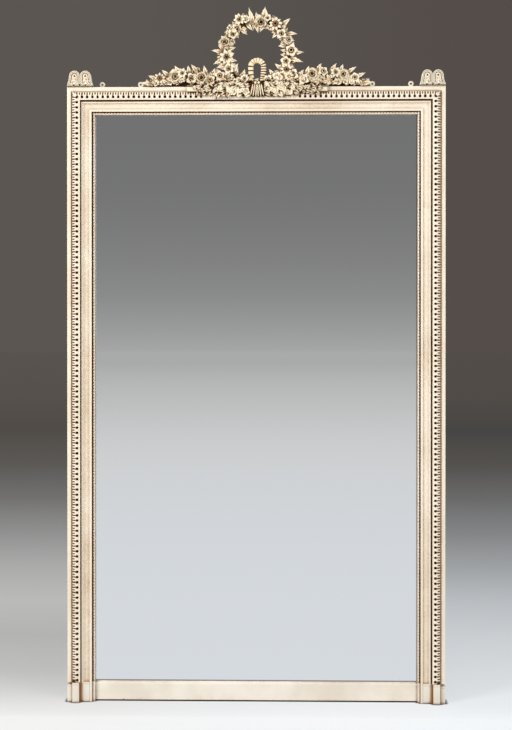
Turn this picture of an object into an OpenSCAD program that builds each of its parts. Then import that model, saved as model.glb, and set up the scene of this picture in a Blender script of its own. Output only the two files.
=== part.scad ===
// Carved and painted overmantel mirror in the Louis XVI manner.
// A pegged pine carcase carries mitred mouldings, a mirror plate with its backboards,
// two plinth blocks, two corner acroteria and a carved crest of a flower wreath and garlands.
// Millimetres. X runs across the mirror, Y from front to back, Z up. The floor line is Z = 0,
// the middle of the width is X = 0 and the middle of the depth is Y = 0.
// In the code, u is a distance in from the outer edge and d is a depth behind the foremost petals.

/* [Frame] */
// Width over the outer edges of the frame
frame_width = 1120; // [1060:5:1240]
// Height from the floor to the top of the top rail
frame_height = 1824; // [1600:8:1960]
// Thickness of the carcase
carcase_thickness = 46; // [44:1:56]
// Height of the bottom rail
bottom_rail_height = 52; // [46:1:58]
// How far the face of the bottom rail lies behind the front of the carcase
bottom_rail_setback = 10.5; // [9:0.5:12]
// Length of the rail tenons
tenon_length = 45; // [30:1:50]
// Thickness of the rail tenons
tenon_thickness = 14; // [10:0.5:15]
// Play around a tenon in its mortise
tenon_play = 0.15; // [0.1:0.05:0.3]
// Diameter of the pegs through the tenons
peg_diameter = 8; // [6:0.5:10]

/* [Depth steps] */
// How far the foremost petals stand in front of the plinth blocks
petal_relief = 8; // [6:0.5:12]
// How far the plinth blocks stand in front of the leaf moulding
plinth_relief = 4; // [2:0.5:6]
// How far the outer band lies behind the leaf moulding
band_setback = 10; // [8:0.5:12]
// Thickness of the outer band
band_thickness = 10; // [8:0.5:12]
// How far the frieze panel lies behind the leaf moulding
panel_setback = 15.5; // [14:0.5:17]
// How far the quirk and the foot of the torus lie behind the leaf moulding
quirk_setback = 13; // [11:0.5:14]
// How far the raised fillet lies behind the leaf moulding
fillet_setback = 12.6; // [11:0.2:14]
// How deep the curve of the leaf moulding swells
leaf_swell = 9; // [7:0.5:10]
// How deep the gaps between the leaf tips are carved
leaf_cut_depth = 6; // [4:0.5:8]
// How far the bed of the beads lies behind the leaf moulding
bead_bed_setback = 22; // [20:0.5:24]
// Depth of the slip and the bead strip behind the front of the carcase
slip_lip_depth = 18; // [16:0.5:20]
// How far the crest's back lies behind the front of the carcase
crest_seat = 14; // [12:0.5:20]

/* [Mouldings] */
// Width of the outer band
band_width = 12; // [10:0.5:14]
// Width of the dark quirk beside the band
band_quirk = 3; // [2:0.5:4]
// Width of the leaf moulding with its fillet
leaf_width = 24; // [22:0.5:26]
// Spacing of the carved leaf tips
leaf_pitch = 15.3; // [12:0.1:18]
// Diameter of the holes drilled between the leaf tips
leaf_hole = 4.4; // [3.4:0.2:5]
// Width of the quirk between leaf moulding and frieze
frieze_quirk = 3.2; // [2:0.2:4]
// Width of the thin torus at the outer edge of the frieze
torus_width = 5.4; // [4.6:0.2:6]
// Width of the flat panel of the frieze
panel_width = 17.4; // [16:0.2:20]
// Width of the raised fillet inside the frieze panel
fillet_width = 8; // [6:0.2:9]
// Width of the frieze slip's tongue over the inner edge of the carcase
tongue_width = 7; // [4:0.5:10]
// Width of the bead strip
bead_strip_width = 8; // [7.6:0.2:9]
// Diameter of one bead
bead_diameter = 5.6; // [4.4:0.2:6.6]
// How far the beads stand back from the sight edge
bead_inset = 0.3; // [0.2:0.1:0.8]
// Spacing of the beads
bead_pitch = 9; // [7.6:0.2:12]

/* [Mirror plate and back] */
// Thickness of the mirror plate
plate_thickness = 5; // [4:0.5:6]
// Free edge between the plate and the carcase
plate_edge_gap = 3; // [2:0.5:4]
// Thickness of the setting blocks under the plate
setting_block = 2; // [2:0.5:4]
// Play in front of and behind the plate
plate_play = 0.3; // [0.2:0.1:0.5]
// Length of a glazing block
glazing_block_length = 70; // [50:5:90]
// Width of a glazing block
glazing_block_width = 14; // [12:1:18]
// Number of glazing blocks on each side
side_blocks = 5; // [3:1:7]
// Number of glazing blocks along the top and along the bottom
end_blocks = 3; // [2:1:4]
// Thickness of the backboards
board_thickness = 10; // [8:0.5:12]
// Width of the rebate that takes the backboards
board_rebate = 12; // [10:1:14]
// Gap between two backboards and around them
board_gap = 0.5; // [0.3:0.1:1]
// Length of the backboard nails
nail_length = 26; // [20:1:30]
// Diameter of the backboard nails
nail_diameter = 2.6; // [2:0.2:3.2]

/* [Plinth blocks] */
// Height of the plinth blocks
plinth_height = 58; // [52:1:68]
// Height of the thin lip along the top of a plinth block
plinth_lip = 5; // [4:0.5:7]
// How far that lip stands proud
plinth_lip_proud = 1.2; // [0.8:0.2:2]
// Width of the wide block under the leaf moulding
plinth_main = 20; // [18:0.5:22]
// Width of the groove between the two wide blocks
plinth_groove = 5; // [3:0.5:6]
// Width of the thin inner block beside the glass
plinth_inner = 10; // [8:0.5:12]

/* [Corner acroteria] */
// Width of one acroterion
acroterion_width = 76; // [64:1:80]
// Height of one acroterion
acroterion_height = 50; // [44:1:60]
// Thickness of one acroterion
acroterion_thickness = 30; // [24:1:34]
// Height of the foot moulding below the lobes
acroterion_foot = 6; // [4:0.5:8]
// Width of the raised rim around each lobe
acroterion_rim = 4.5; // [3.5:0.5:6]

/* [Crest] */
// Place of the wreath's centre across the frame
crest_x = 4; // [-10:1:10]
// Height of the wreath's centre above the top rail
wreath_rise = 97; // [90:1:110]
// Mean radius of the wreath
wreath_radius = 97; // [88:1:104]
// Half the width of the carved stem that carries the wreath's flowers
wreath_stem = 12; // [9:0.5:16]
// Thickness of the flat board at the back of the crest's carving
crest_board = 16; // [12:1:20]
// Half the width of the wreath carving where it meets the garlands
wreath_half = 122; // [116:1:130]
// Width of the joint between wreath and garland
carving_joint = 0.4; // [0.2:0.1:0.8]
// Half the length of the crest's base board
base_half = 207; // [190:1:225]
// Thickness of the base board
base_thickness = 9; // [7:0.5:12]
// Drop of the base board's lip in front of the leaf moulding
base_lip_drop = 18; // [14:1:22]
// Distance from the wreath's centre to the far end of a garland
garland_reach = 342; // [320:2:360]
// Diameter of the dowels between crest and top rail
dowel_diameter = 8; // [6:0.5:9]
// Length of the dowels
dowel_length = 46; // [36:1:56]

/* [Ribbon] */
// Height of the ribbon loop above the top of the base board
ribbon_height = 76; // [66:1:84]
// Width of the ribbon loop
ribbon_width = 58; // [50:1:64]
// Width of the ribbon band
ribbon_band = 16; // [12:1:18]
// Thickness of the ribbon loop from front to back
ribbon_thickness = 16; // [12:1:18]

/* [Ironwork] */
// Distance of the outer hanging eyes from the outer edge of the frame
outer_eye_inset = 99; // [86:1:130]
// Distance of the inner hanging eyes from the outer edge of the frame
inner_eye_inset = 214; // [196:1:240]
// Diameter of the hole in a hanging eye
eye_hole = 6.4; // [5:0.2:7]
// Outer diameter of a hanging eye
eye_outer = 16; // [14:0.5:20]
// Height of the eye's centre above the top rail
eye_rise = 14; // [11:0.5:18]
// Thickness of the iron plates and straps
iron_thickness = 3; // [2:0.5:4]
// Length of an eye plate below the top of the rail
eye_plate_length = 44; // [36:1:50]
// Diameter of the wood screws
screw_diameter = 4; // [3:0.5:5]
// Length of the wood screws
screw_length = 24; // [16:1:28]
// Width of the iron straps behind the wreath
strap_width = 16; // [12:1:20]
// Height of a strap above the top rail
strap_rise = 104; // [80:1:120]
// Length of a strap below the top of the rail
strap_drop = 46; // [36:1:50]

/* [Hidden] */
$fn = 48;

// Depths behind the foremost petals
d_plinth = petal_relief;
d_leaf = d_plinth + plinth_relief;
d_band = d_leaf + band_setback;
d_carcase = d_band + band_thickness;
d_panel = d_leaf + panel_setback;
d_bead_bed = d_leaf + bead_bed_setback;
d_seat = d_carcase + slip_lip_depth;
d_plate = d_seat + plate_play;
d_plate_back = d_plate + plate_thickness;
d_back = d_carcase + carcase_thickness;
d_board = d_back - board_thickness;
d_crest = d_carcase + crest_seat;
d_rail_face = d_carcase + bottom_rail_setback;
d_tenon = (d_carcase + d_board - tenon_thickness) / 2;
d_low_tenon = (d_rail_face + d_board - tenon_thickness) / 2;
d_dowel = (d_carcase + d_crest) / 2;
d_carving = d_crest - crest_board;

// Distances in from the outer edge
half = frame_width / 2;
u_leaf = band_width + band_quirk;
u_frieze = u_leaf + leaf_width;
u_torus = u_frieze + frieze_quirk;
u_panel = u_torus + torus_width;
u_fillet = u_panel + panel_width;
u_bead = u_fillet + fillet_width;
u_sight = u_bead + bead_strip_width;
carcase_width = u_bead - tongue_width;
u_plate = carcase_width + plate_edge_gap;
u_board = carcase_width - board_rebate;
u_hole = u_leaf + 2 / 3 * leaf_width;

// Heights
z_top = frame_height;
z_strip = max(plinth_height, bottom_rail_height);
z_ledge = bottom_rail_height - board_rebate;
z_board = z_ledge - board_rebate;
z_plate = z_ledge + setting_block;
z_base = z_top + base_thickness;
z_wreath = z_top + wreath_rise;

// Joinery
mitre_reach = u_sight + 20;
tenon_depth = carcase_width - 26;
z_tenon = z_top - (carcase_width + tenon_depth) / 2;
low_tenon_foot = 8;
low_tenon_height = z_ledge - 2 * low_tenon_foot;
peg_inset = tenon_length / 2;
peg_depth = carcase_thickness - 6;
fit = 0.1;
touch = 0.3;
cut = 1;
board_count = 8;

wood = [0.72, 0.58, 0.40];
cream = [0.92, 0.88, 0.77];
iron = [0.30, 0.28, 0.26];

// Y of a depth
function yd(d) = d - d_back / 2;

// Points of an arc in the plane of a section
function arc(cu, cd, r, a0, a1, n) =
    [for (i = [0:n]) let (a = a0 + (a1 - a0) * i / n) [cu + r * cos(a), cd + r * sin(a)]];

// Even steps between two ends, ends left out
function steps(from, to, pitch) =
    let (n = round((to - from) / pitch)) [for (i = [1:n - 1]) from + (to - from) * i / n];

// A shape drawn in X and Z, given a thickness from depth d0 to depth d1
module slab(d0, d1) {
    translate([0, yd(d1), 0])
    rotate([90, 0, 0])
    linear_extrude(d1 - d0)
    children();
}

// A bar of constant section up the left side, the section given in u and d
module left_bar(section, z0, z1) {
    translate([-half, yd(0), z0])
    linear_extrude(z1 - z0)
    polygon(section);
}

// The same bar, cut to a mitre at the top corner
module left_moulding(section) {
    intersection() {
        left_bar(section, z_strip, z_top);
        slab(-cut, d_back + cut)
        polygon([
            [-half - cut, z_strip - cut],
            [-half - cut, z_top + cut],
            [-half + mitre_reach, z_top - mitre_reach],
            [-half + mitre_reach, z_strip - cut]
        ]);
    }
}

// The bar across the top, cut to a mitre at both ends
module top_moulding(section) {
    intersection() {
        translate([-half, 0, 0])
        rotate([90, 0, 90])
        linear_extrude(frame_width)
        polygon([for (p = section) [yd(p[1]), z_top - p[0]]]);
        slab(-cut, d_back + cut)
        polygon([
            [-half - cut, z_top + cut],
            [-half + mitre_reach, z_top - mitre_reach],
            [half - mitre_reach, z_top - mitre_reach],
            [half + cut, z_top + cut]
        ]);
    }
}

// A hole or pin along Y
module y_cylinder(x, z, d0, d1, diameter) {
    translate([x, yd(d1), z])
    rotate([90, 0, 0])
    cylinder(d = diameter, h = d1 - d0);
}

// Where the pegs stand on one side: x, z
function peg_places(side) = [
    for (z = [
        z_top - carcase_width / 2 - tenon_depth / 4,
        z_top - carcase_width / 2 + tenon_depth / 4,
        low_tenon_foot + low_tenon_height / 2
    ]) [side * (half - carcase_width + peg_inset), z]
];

module peg_holes(side) {
    for (p = peg_places(side))
        y_cylinder(p[0], p[1], d_back - peg_depth, d_back + cut, peg_diameter + 2 * fit);
}

module joint_pegs() {
    color(wood)
    for (side = [-1, 1]) for (p = peg_places(side))
        y_cylinder(p[0], p[1], d_back - peg_depth + touch, d_back, peg_diameter);
}

// Backboards, counted from the bottom
board_bottom = z_board + board_gap;
board_top = z_top - u_board - board_gap;
board_height = (board_top - board_bottom - (board_count - 1) * board_gap) / board_count;
function board_z(i) = board_bottom + i * (board_height + board_gap);

// Nails at one end of one backboard: x, z
function nail_places(side, i) = [
    for (share = [1 / 4, 3 / 4])
        [side * (half - carcase_width + board_rebate / 2), board_z(i) + share * board_height]
];

module backboard_nails() {
    color(iron)
    for (side = [-1, 1]) for (i = [0:board_count - 1]) for (p = nail_places(side, i))
        y_cylinder(p[0], p[1], d_back - nail_length, d_back, nail_diameter);
}

// A countersunk wood screw whose head lies flush with depth d1; grow widens it for its hole
module screw(x, z, d1, length, grow = 0) {
    y_cylinder(x, z, d1 - length - grow, d1 - iron_thickness + 0.5, screw_diameter + 2 * grow);
    translate([x, yd(d1), z])
    rotate([90, 0, 0])
    cylinder(d1 = 2 * screw_diameter + 2 * grow, d2 = screw_diameter + 2 * grow, h = iron_thickness);
}

// Mortise in the left stile for a tenon
module mortise(d, z, height) {
    translate([
        -half + carcase_width - tenon_length - touch,
        yd(d - tenon_play),
        z - tenon_play
    ])
    cube([tenon_length + touch + cut, tenon_thickness + 2 * tenon_play, height + 2 * tenon_play]);
}

// Carcase stile on the left, with its mortises, rebate and holes
module stile() {
    body = [[0, d_carcase], [carcase_width, d_carcase], [carcase_width, d_back], [0, d_back]];
    rebate = [
        [u_board, d_board], [carcase_width + cut, d_board],
        [carcase_width + cut, d_back + cut], [u_board, d_back + cut]
    ];
    difference() {
        left_bar(body, 0, z_top);
        left_bar(rebate, z_board, z_top - u_board);
        mortise(d_tenon, z_tenon, tenon_depth);
        mortise(d_low_tenon, low_tenon_foot, low_tenon_height);
        peg_holes(-1);
        for (i = [0:board_count - 1]) for (p = nail_places(-1, i))
            y_cylinder(p[0], p[1], d_back - nail_length - touch, d_back + cut, nail_diameter + 2 * fit);
    }
}

module stile_left() {
    color(wood)
    stile();
}

module stile_right() {
    color(wood)
    mirror([1, 0, 0])
    stile();
}

// Recess in the back of the top rail for one iron plate
module plate_recess(x, width, length) {
    translate([x - width / 2 - fit, yd(d_back - iron_thickness), z_top - length - fit])
    cube([width + 2 * fit, iron_thickness + cut, length + fit + cut]);
}

eye_places = [for (inset = [outer_eye_inset, inner_eye_inset]) for (side = [-1, 1]) side * (half - inset)];
strap_places = [crest_x - wreath_radius, crest_x + wreath_radius];
eye_screw_places = [for (x = eye_places) for (share = [1 / 3, 4 / 5]) [x, z_top - share * eye_plate_length]];
strap_screw_places = [for (x = strap_places) for (share = [1 / 3, 4 / 5]) [x, z_top - share * strap_drop]];
wreath_screw_places = [for (x = strap_places) for (share = [1 / 3, 9 / 10]) [x, z_top + share * strap_rise]];
dowel_places = [for (side = [-1, 1]) for (share = [0.3, 0.85]) crest_x + side * share * base_half];

// A rail's body and both its tenons, between the stiles
module tenons(d, z, height) {
    translate([-half + carcase_width - tenon_length, yd(d), z])
    cube([frame_width - 2 * carcase_width + 2 * tenon_length, tenon_thickness, height]);
}

module top_rail() {
    color(wood)
    difference() {
        union() {
            translate([-half + carcase_width, yd(d_carcase), z_top - carcase_width])
            cube([frame_width - 2 * carcase_width, carcase_thickness, carcase_width]);
            tenons(d_tenon, z_tenon, tenon_depth);
        }
        translate([-half, yd(d_board), z_top - carcase_width - cut])
        cube([frame_width, board_thickness + cut, board_rebate + cut]);
        for (x = eye_places) plate_recess(x, eye_outer, eye_plate_length);
        for (x = strap_places) plate_recess(x, strap_width, strap_drop);
        for (p = concat(eye_screw_places, strap_screw_places)) screw(p[0], p[1], d_back, screw_length, fit);
        for (x = dowel_places)
            translate([x, yd(d_dowel), z_base - dowel_length - touch])
            cylinder(d = dowel_diameter + 2 * fit, h = dowel_length);
        peg_holes(-1);
        peg_holes(1);
    }
}

module bottom_rail() {
    bevel = 2.5;
    section = [
        [d_rail_face, 0], [d_rail_face, bottom_rail_height - bevel],
        [d_rail_face + bevel, bottom_rail_height], [d_seat, bottom_rail_height],
        [d_seat, z_ledge], [d_board, z_ledge], [d_board, z_board], [d_back, z_board], [d_back, 0]
    ];
    color(wood)
    difference() {
        union() {
            translate([-half + carcase_width, 0, 0])
            rotate([90, 0, 90])
            linear_extrude(frame_width - 2 * carcase_width)
            polygon([for (p = section) [yd(p[0]), p[1]]]);
            tenons(d_low_tenon, low_tenon_foot, low_tenon_height);
        }
        peg_holes(-1);
        peg_holes(1);
    }
}

// Outer band with the quirk beside it
band_section = [
    [0, d_band], [band_width, d_band], [band_width, (d_band + d_carcase) / 2],
    [u_leaf, (d_band + d_carcase) / 2], [u_leaf, d_carcase], [0, d_carcase]
];

module outer_band_left() {
    color(cream)
    left_moulding(band_section);
}

module outer_band_right() {
    color(cream)
    mirror([1, 0, 0])
    left_moulding(band_section);
}

module outer_band_top() {
    color(cream)
    top_moulding(band_section);
}

// Leaf moulding: a full ogee front, then a small fillet
leaf_fillet = 3.6;
leaf_fillet_step = 3.4;
leaf_bulge = (leaf_width - leaf_fillet) / 2;
leaf_section = concat(
    [[u_leaf, d_carcase]],
    [
        for (p = arc(u_leaf + leaf_bulge, 0, leaf_bulge, 180, 360, 12))
            [p[0], d_leaf + leaf_swell * (1 + p[1] / leaf_bulge)]
    ],
    [
        [u_frieze - leaf_fillet, d_leaf + leaf_fillet_step],
        [u_frieze, d_leaf + leaf_fillet_step],
        [u_frieze, d_carcase]
    ]
);

// One carved gap between two leaf tips, drawn with the slot running to +Y
module leaf_gap() {
    slot = leaf_hole * 0.32;
    circle(d = leaf_hole);
    translate([-slot / 2, 0])
    square([slot, u_hole - u_leaf - 3]);
}

side_gaps = steps(z_strip + leaf_pitch / 2, z_top - u_hole, leaf_pitch);
all_top_gaps = steps(-half + u_hole, half - u_hole, leaf_pitch);
// The moulding is plain behind the lip of the crest's base board
top_gaps = [for (x = all_top_gaps) if (abs(x - crest_x) > base_half) x];

module leaf_moulding_side() {
    difference() {
        left_moulding(leaf_section);
        slab(d_leaf - cut, d_leaf + leaf_cut_depth)
        for (z = side_gaps) translate([-half + u_hole, z]) rotate(90) leaf_gap();
    }
}

module leaf_moulding_left() {
    color(cream)
    leaf_moulding_side();
}

module leaf_moulding_right() {
    color(cream)
    mirror([1, 0, 0])
    leaf_moulding_side();
}

module leaf_moulding_top() {
    color(cream)
    difference() {
        top_moulding(leaf_section);
        slab(d_leaf - cut, d_leaf + leaf_cut_depth)
        for (x = top_gaps) translate([x, z_top - u_hole]) leaf_gap();
    }
}

// Frieze slip: quirk, torus, panel, raised fillet, and the tongue that covers the carcase's edge
frieze_section = concat(
    [[u_frieze, d_carcase], [u_frieze, d_leaf + quirk_setback], [u_torus, d_leaf + quirk_setback]],
    [
        for (p = arc(u_torus + torus_width / 2, d_leaf + quirk_setback, torus_width / 2, 180, 360, 8))
            [p[0], p[1]]
    ],
    [
        [u_panel, d_panel], [u_fillet, d_panel], [u_fillet + 0.8, d_leaf + fillet_setback],
        [u_bead, d_leaf + fillet_setback], [u_bead, d_seat],
        [carcase_width, d_seat], [carcase_width, d_carcase]
    ]
);

module frieze_left() {
    color(cream)
    left_moulding(frieze_section);
}

module frieze_right() {
    color(cream)
    mirror([1, 0, 0])
    left_moulding(frieze_section);
}

module frieze_top() {
    color(cream)
    top_moulding(frieze_section);
}

// Bead strip beside the glass, with its row of half-round beads
bead_section = [[u_bead, d_bead_bed], [u_sight, d_bead_bed], [u_sight, d_seat], [u_bead, d_seat]];
u_bead_row = u_sight - bead_inset - bead_diameter / 2;

module bead(x, z) {
    translate([x, yd(d_bead_bed), z])
    sphere(d = bead_diameter);
}

module bead_strip_side() {
    left_moulding(bead_section);
    for (z = steps(z_strip, z_top - u_bead_row, bead_pitch)) bead(-half + u_bead_row, z);
}

module bead_strip_left() {
    color(cream)
    bead_strip_side();
}

module bead_strip_right() {
    color(cream)
    mirror([1, 0, 0])
    bead_strip_side();
}

module bead_strip_top() {
    color(cream)
    union() {
        top_moulding(bead_section);
        for (x = steps(-half + u_bead_row, half - u_bead_row, bead_pitch)) bead(x, z_top - u_bead_row);
    }
}

// One stepped face of a plinth: a block with a thin lip along its top
module plinth_face(u0, u1, height, d0, d1) {
    translate([-half + u0, yd(d0), 0])
    cube([u1 - u0, d1 - d0, height - plinth_lip / 2]);
    translate([-half + u0, yd(d0 - plinth_lip_proud), height - plinth_lip])
    cube([u1 - u0, d1 - d0 + plinth_lip_proud, plinth_lip]);
}

u_main = u_leaf + 0.7;
u_second = u_main + plinth_main + plinth_groove;
d_groove = d_band + 4;

module plinth() {
    plinth_face(0, band_width, plinth_height - 7, d_band - 2, d_carcase);
    plinth_face(u_main, u_main + plinth_main, plinth_height, d_plinth + plinth_lip_proud, d_carcase);
    plinth_face(u_second, carcase_width, plinth_height, d_plinth + 3, d_carcase);
    plinth_face(u_sight - plinth_inner, u_sight, plinth_height, d_carcase - 2, d_rail_face);
    translate([-half, yd(d_groove), 0])
    cube([carcase_width, d_carcase - d_groove, plinth_height - 7]);
    translate([-half + u_second, yd(d_carcase - 4), 0])
    cube([u_sight - plinth_inner + 2 - u_second, 4, plinth_height]);
    translate([-half + carcase_width, yd(d_carcase - 4), 0])
    cube([u_sight - plinth_inner + 2 - carcase_width, d_rail_face - d_carcase + 4, plinth_height]);
}

module plinth_left() {
    color(cream)
    plinth();
}

module plinth_right() {
    color(cream)
    mirror([1, 0, 0])
    plinth();
}

// Outline of one arched lobe: a half circle on straight sides that reach down by a root
module lobe_outline(width, height, root = 0) {
    translate([-width / 2, -root])
    square([width, height - width / 2 + root]);
    translate([0, height - width / 2])
    circle(d = width);
}

// A husk: a drop with its point up
module husk_outline(width, height) {
    translate([0, width / 2])
    circle(d = width);
    polygon([[-width * 0.47, width * 0.66], [0, height], [width * 0.47, width * 0.66]]);
}

// Corner acroterion on the left: two arched lobes with sunk fields and a husk in each
module acroterion() {
    lobe_width = acroterion_width / 2;
    lobe_height = acroterion_height - acroterion_foot;
    sunk = 6;
    d_front = d_band - 2;
    field_width = lobe_width - 2 * acroterion_rim;
    field_height = lobe_height - acroterion_rim;
    lobe_places = [for (i = [0, 1]) [-half + lobe_width * (i + 0.5), z_top + acroterion_foot]];
    difference() {
        union() {
            slab(d_front, d_front + acroterion_thickness)
            for (p = lobe_places) translate(p) lobe_outline(lobe_width, lobe_height, 1);
            slab(d_front, d_front + acroterion_thickness)
            translate([-half + lobe_width - 1, z_top])
            square([2, lobe_height - lobe_width / 2]);
            slab(d_front - 2, d_front + acroterion_thickness)
            translate([-half, z_top])
            square([acroterion_width, acroterion_foot]);
        }
        slab(d_front - cut, d_front + sunk)
        for (p = lobe_places) translate(p) lobe_outline(field_width, field_height);
    }
    slab(d_front + 1, d_front + sunk + 1)
    for (p = lobe_places) translate(p) husk_outline(field_width * 0.62, field_height * 0.86);
}

module acroterion_left() {
    color(cream)
    acroterion();
}

module acroterion_right() {
    color(cream)
    mirror([1, 0, 0])
    acroterion();
}

module mirror_plate() {
    color([0.75, 0.78, 0.80])
    translate([-half + u_plate, yd(d_plate), z_plate])
    cube([frame_width - 2 * u_plate, plate_thickness, z_top - u_plate - z_plate]);
}

module setting_blocks() {
    color(wood)
    for (side = [-1, 1])
        translate([side * frame_width / 4 - glazing_block_length / 2, yd(d_plate), z_ledge])
        cube([glazing_block_length, plate_thickness, setting_block]);
}

// Wooden blocks glued behind the edge of the plate
module glazing_blocks() {
    d0 = d_plate_back + plate_play;
    depth = d_board - touch - d0;
    low = z_plate + glazing_block_length;
    span = z_top - carcase_width - glazing_block_length - low;
    run = frame_width - 2 * carcase_width;
    side_z = [for (i = [0:side_blocks - 1]) low + span * (i + 0.5) / side_blocks - glazing_block_length / 2];
    end_x = [for (i = [0:end_blocks - 1]) run * ((i + 0.5) / end_blocks - 0.5) - glazing_block_length / 2];
    color(wood)
    union() {
        for (side = [0, 1]) mirror([side, 0, 0]) for (z = side_z)
            translate([-half + carcase_width, yd(d0), z])
            cube([glazing_block_width, depth, glazing_block_length]);
        for (x = end_x) for (z = [z_ledge, z_top - carcase_width - glazing_block_width])
            translate([x, yd(d0), z])
            cube([glazing_block_length, depth, glazing_block_width]);
    }
}

// One backboard, nailed into the stiles at both ends
module backboard(i) {
    color(wood)
    difference() {
        translate([-half + u_board + board_gap, yd(d_board), board_z(i)])
        cube([frame_width - 2 * (u_board + board_gap), board_thickness, board_height]);
        for (side = [-1, 1]) for (p = nail_places(side, i))
            y_cylinder(p[0], p[1], d_board - cut, d_back + cut, nail_diameter + 2 * fit);
    }
}

// Base board of the crest: it lies on the top rail and drops a lip in front of the leaf moulding
module crest_base() {
    d_lip = d_leaf - touch;
    section = [
        [d_plinth, z_base], [d_plinth, z_top - base_lip_drop], [d_lip, z_top - base_lip_drop],
        [d_lip, z_top], [d_crest, z_top], [d_crest, z_base]
    ];
    color(cream)
    difference() {
        translate([crest_x - base_half, 0, 0])
        rotate([90, 0, 90])
        linear_extrude(2 * base_half)
        polygon([for (p = section) [yd(p[0]), p[1]]]);
        for (x = dowel_places)
            translate([x, yd(d_dowel), z_top - cut])
            cylinder(d = dowel_diameter + 2 * fit, h = base_thickness + 2 * cut);
    }
}

module crest_dowels() {
    color(wood)
    for (x = dowel_places)
        translate([x, yd(d_dowel), z_base - dowel_length])
        cylinder(d = dowel_diameter, h = dowel_length);
}

// Carved leaf lying in X and Z, its stalk at the origin, its tip towards +X and its back at Y = 0
module leaf(length, width, thickness) {
    hull() {
        rotate([90, 0, 0])
        linear_extrude(thickness * 0.5)
        polygon([[0, -2], [length * 0.35, -width / 2], [length, 0], [length * 0.35, width / 2], [0, 2]]);
        translate([length * 0.4, 0.6 - thickness, 0])
        sphere(r = 0.6, $fn = 4);
    }
}

// Carved flower with its back at Y = 0: broad petals round a raised heart
module flower(radius, height) {
    petals = 5;
    for (i = [0:petals - 1])
        rotate([0, 360 / petals * i + 18, 0])
        hull() {
            translate([radius * 0.6, 0, 0])
            rotate([90, 0, 0])
            cylinder(r1 = radius * 0.42, r2 = radius * 0.34, h = height * 0.72, $fn = 6);
            rotate([90, 0, 0])
            cylinder(r = radius * 0.2, h = height * 0.45, $fn = 3);
        }
    rotate([90, 0, 0])
    cylinder(r1 = radius * 0.5, r2 = radius * 0.22, h = height, $fn = 6);
}

// Flowers and buds of the wreath: clockwise angle from the top, distance from the mean radius,
// radius, depth of the foremost petal
wreath_flowers = [
    [-150, 2, 18, 8], [-120, 0, 16, 5], [-94, 0, 22, 2], [-73, 2, 21, 0], [-52, -4, 16, 4],
    [-39, 4, 17, 5], [-25, 11, 17, 2], [4, 0, 22, 0], [34, 8, 20, 1], [52, -2, 15, 4], [67, 2, 15, 3],
    [86, 7, 18, 2], [103, -4, 15, 5], [118, 2, 18, 4], [138, 0, 16, 6], [160, 2, 15, 8],
    [-20, 25, 9, 8], [25, 20, 9, 8], [-57, 15, 9, 8]
];
// Pointed leaves of the wreath: angle, distance from the mean radius, turn from the outward
// direction, length, width
wreath_leaves = [
    [11, 12, -4, 30, 19], [-7, 10, 6, 30, 15], [42, 18, 10, 28, 14], [58, 12, 30, 26, 12],
    [89, 16, 0, 26, 11], [100, 4, 4, 38, 14], [-89, 12, 14, 28, 13], [-99, 10, -24, 30, 13],
    [-110, 5, 0, 28, 12], [-82, -8, 160, 22, 11], [-103, -8, 200, 24, 11], [-3, -10, 165, 24, 12],
    [14, -10, 200, 22, 12], [-34, -8, 165, 24, 12], [44, -10, 175, 20, 12], [124, -10, 190, 22, 12],
    [-126, -8, 160, 24, 12], [75, -8, 190, 20, 11]
];
// Flowers of the crest's foot and of both garlands: distance from the crest's middle, height above
// the rail, radius, depth of the foremost petal
foot_flowers = [
    [-104, 10, 19, 3], [-80, 30, 17, 7], [-62, 8, 18, 4], [-38, 18, 14, 6], [34, 20, 15, 5],
    [54, 10, 17, 4], [76, 28, 17, 7], [98, 8, 19, 2], [106, 34, 17, 6], [-108, 34, 15, 6]
];
left_flowers = [
    [-140, 14, 16, 6], [-160, 24, 21, 1], [-184, 42, 13, 6], [-196, 25, 17, 4], [-220, 38, 15, 6],
    [-247, 31, 21, 1], [-268, 22, 13, 8], [-289, 20, 17, 4], [-311, 10, 11, 10]
];
right_flowers = [
    [138, 16, 17, 6], [165, 33, 22, 0], [192, 40, 15, 5], [210, 20, 15, 7], [229, 38, 16, 4],
    [258, 32, 18, 2], [276, 14, 12, 9], [291, 22, 15, 5], [312, 10, 11, 10]
];
// Leaves of the foot and of the garlands: distance, height, heading from +X, length, width
foot_leaves = [
    [-64, 40, 98, 24, 14], [-44, 28, 70, 24, 11], [46, 32, 118, 22, 11], [72, 44, 84, 20, 13]
];
left_leaves = [
    [-150, 34, 105, 26, 14], [-178, 44, 125, 26, 14], [-200, 38, 100, 22, 13], [-228, 40, 128, 24, 14],
    [-262, 32, 140, 24, 13], [-298, 22, 158, 24, 13], [-316, 8, 176, 28, 12]
];
right_leaves = [
    [146, 34, 75, 24, 14], [178, 46, 62, 22, 13], [216, 46, 52, 28, 12], [246, 44, 70, 20, 13],
    [268, 38, 38, 28, 13], [296, 26, 30, 24, 12], [314, 8, 4, 30, 12]
];
// Leaves and crossed stem ends that hang in front of the base board: distance, height above the
// rail, heading, length, width
hanging_leaves = [
    [-50, 2, 206, 56, 12], [50, 2, -26, 56, 12], [-28, -8, 196, 44, 12], [28, -8, -16, 44, 12],
    [-76, 6, 250, 36, 16], [-58, 4, 264, 34, 15], [74, 6, -70, 36, 16], [56, 4, -84, 34, 15],
    [-104, 4, 238, 26, 14], [100, 4, -58, 26, 14]
];
flower_back = 32;
leaf_back = 31;
leaf_thickness = 14;
hanging_thickness = 7;

// A flower whose foremost petal reaches depth d
module placed_flower(x, z, radius, d) {
    translate([x, yd(flower_back), z])
    flower(radius, flower_back - d);
}

// A leaf whose back lies at depth d
module placed_leaf(x, z, heading, length, width, d, thickness) {
    translate([x, yd(d), z])
    rotate([0, -heading, 0])
    leaf(length, width, thickness);
}

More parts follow.
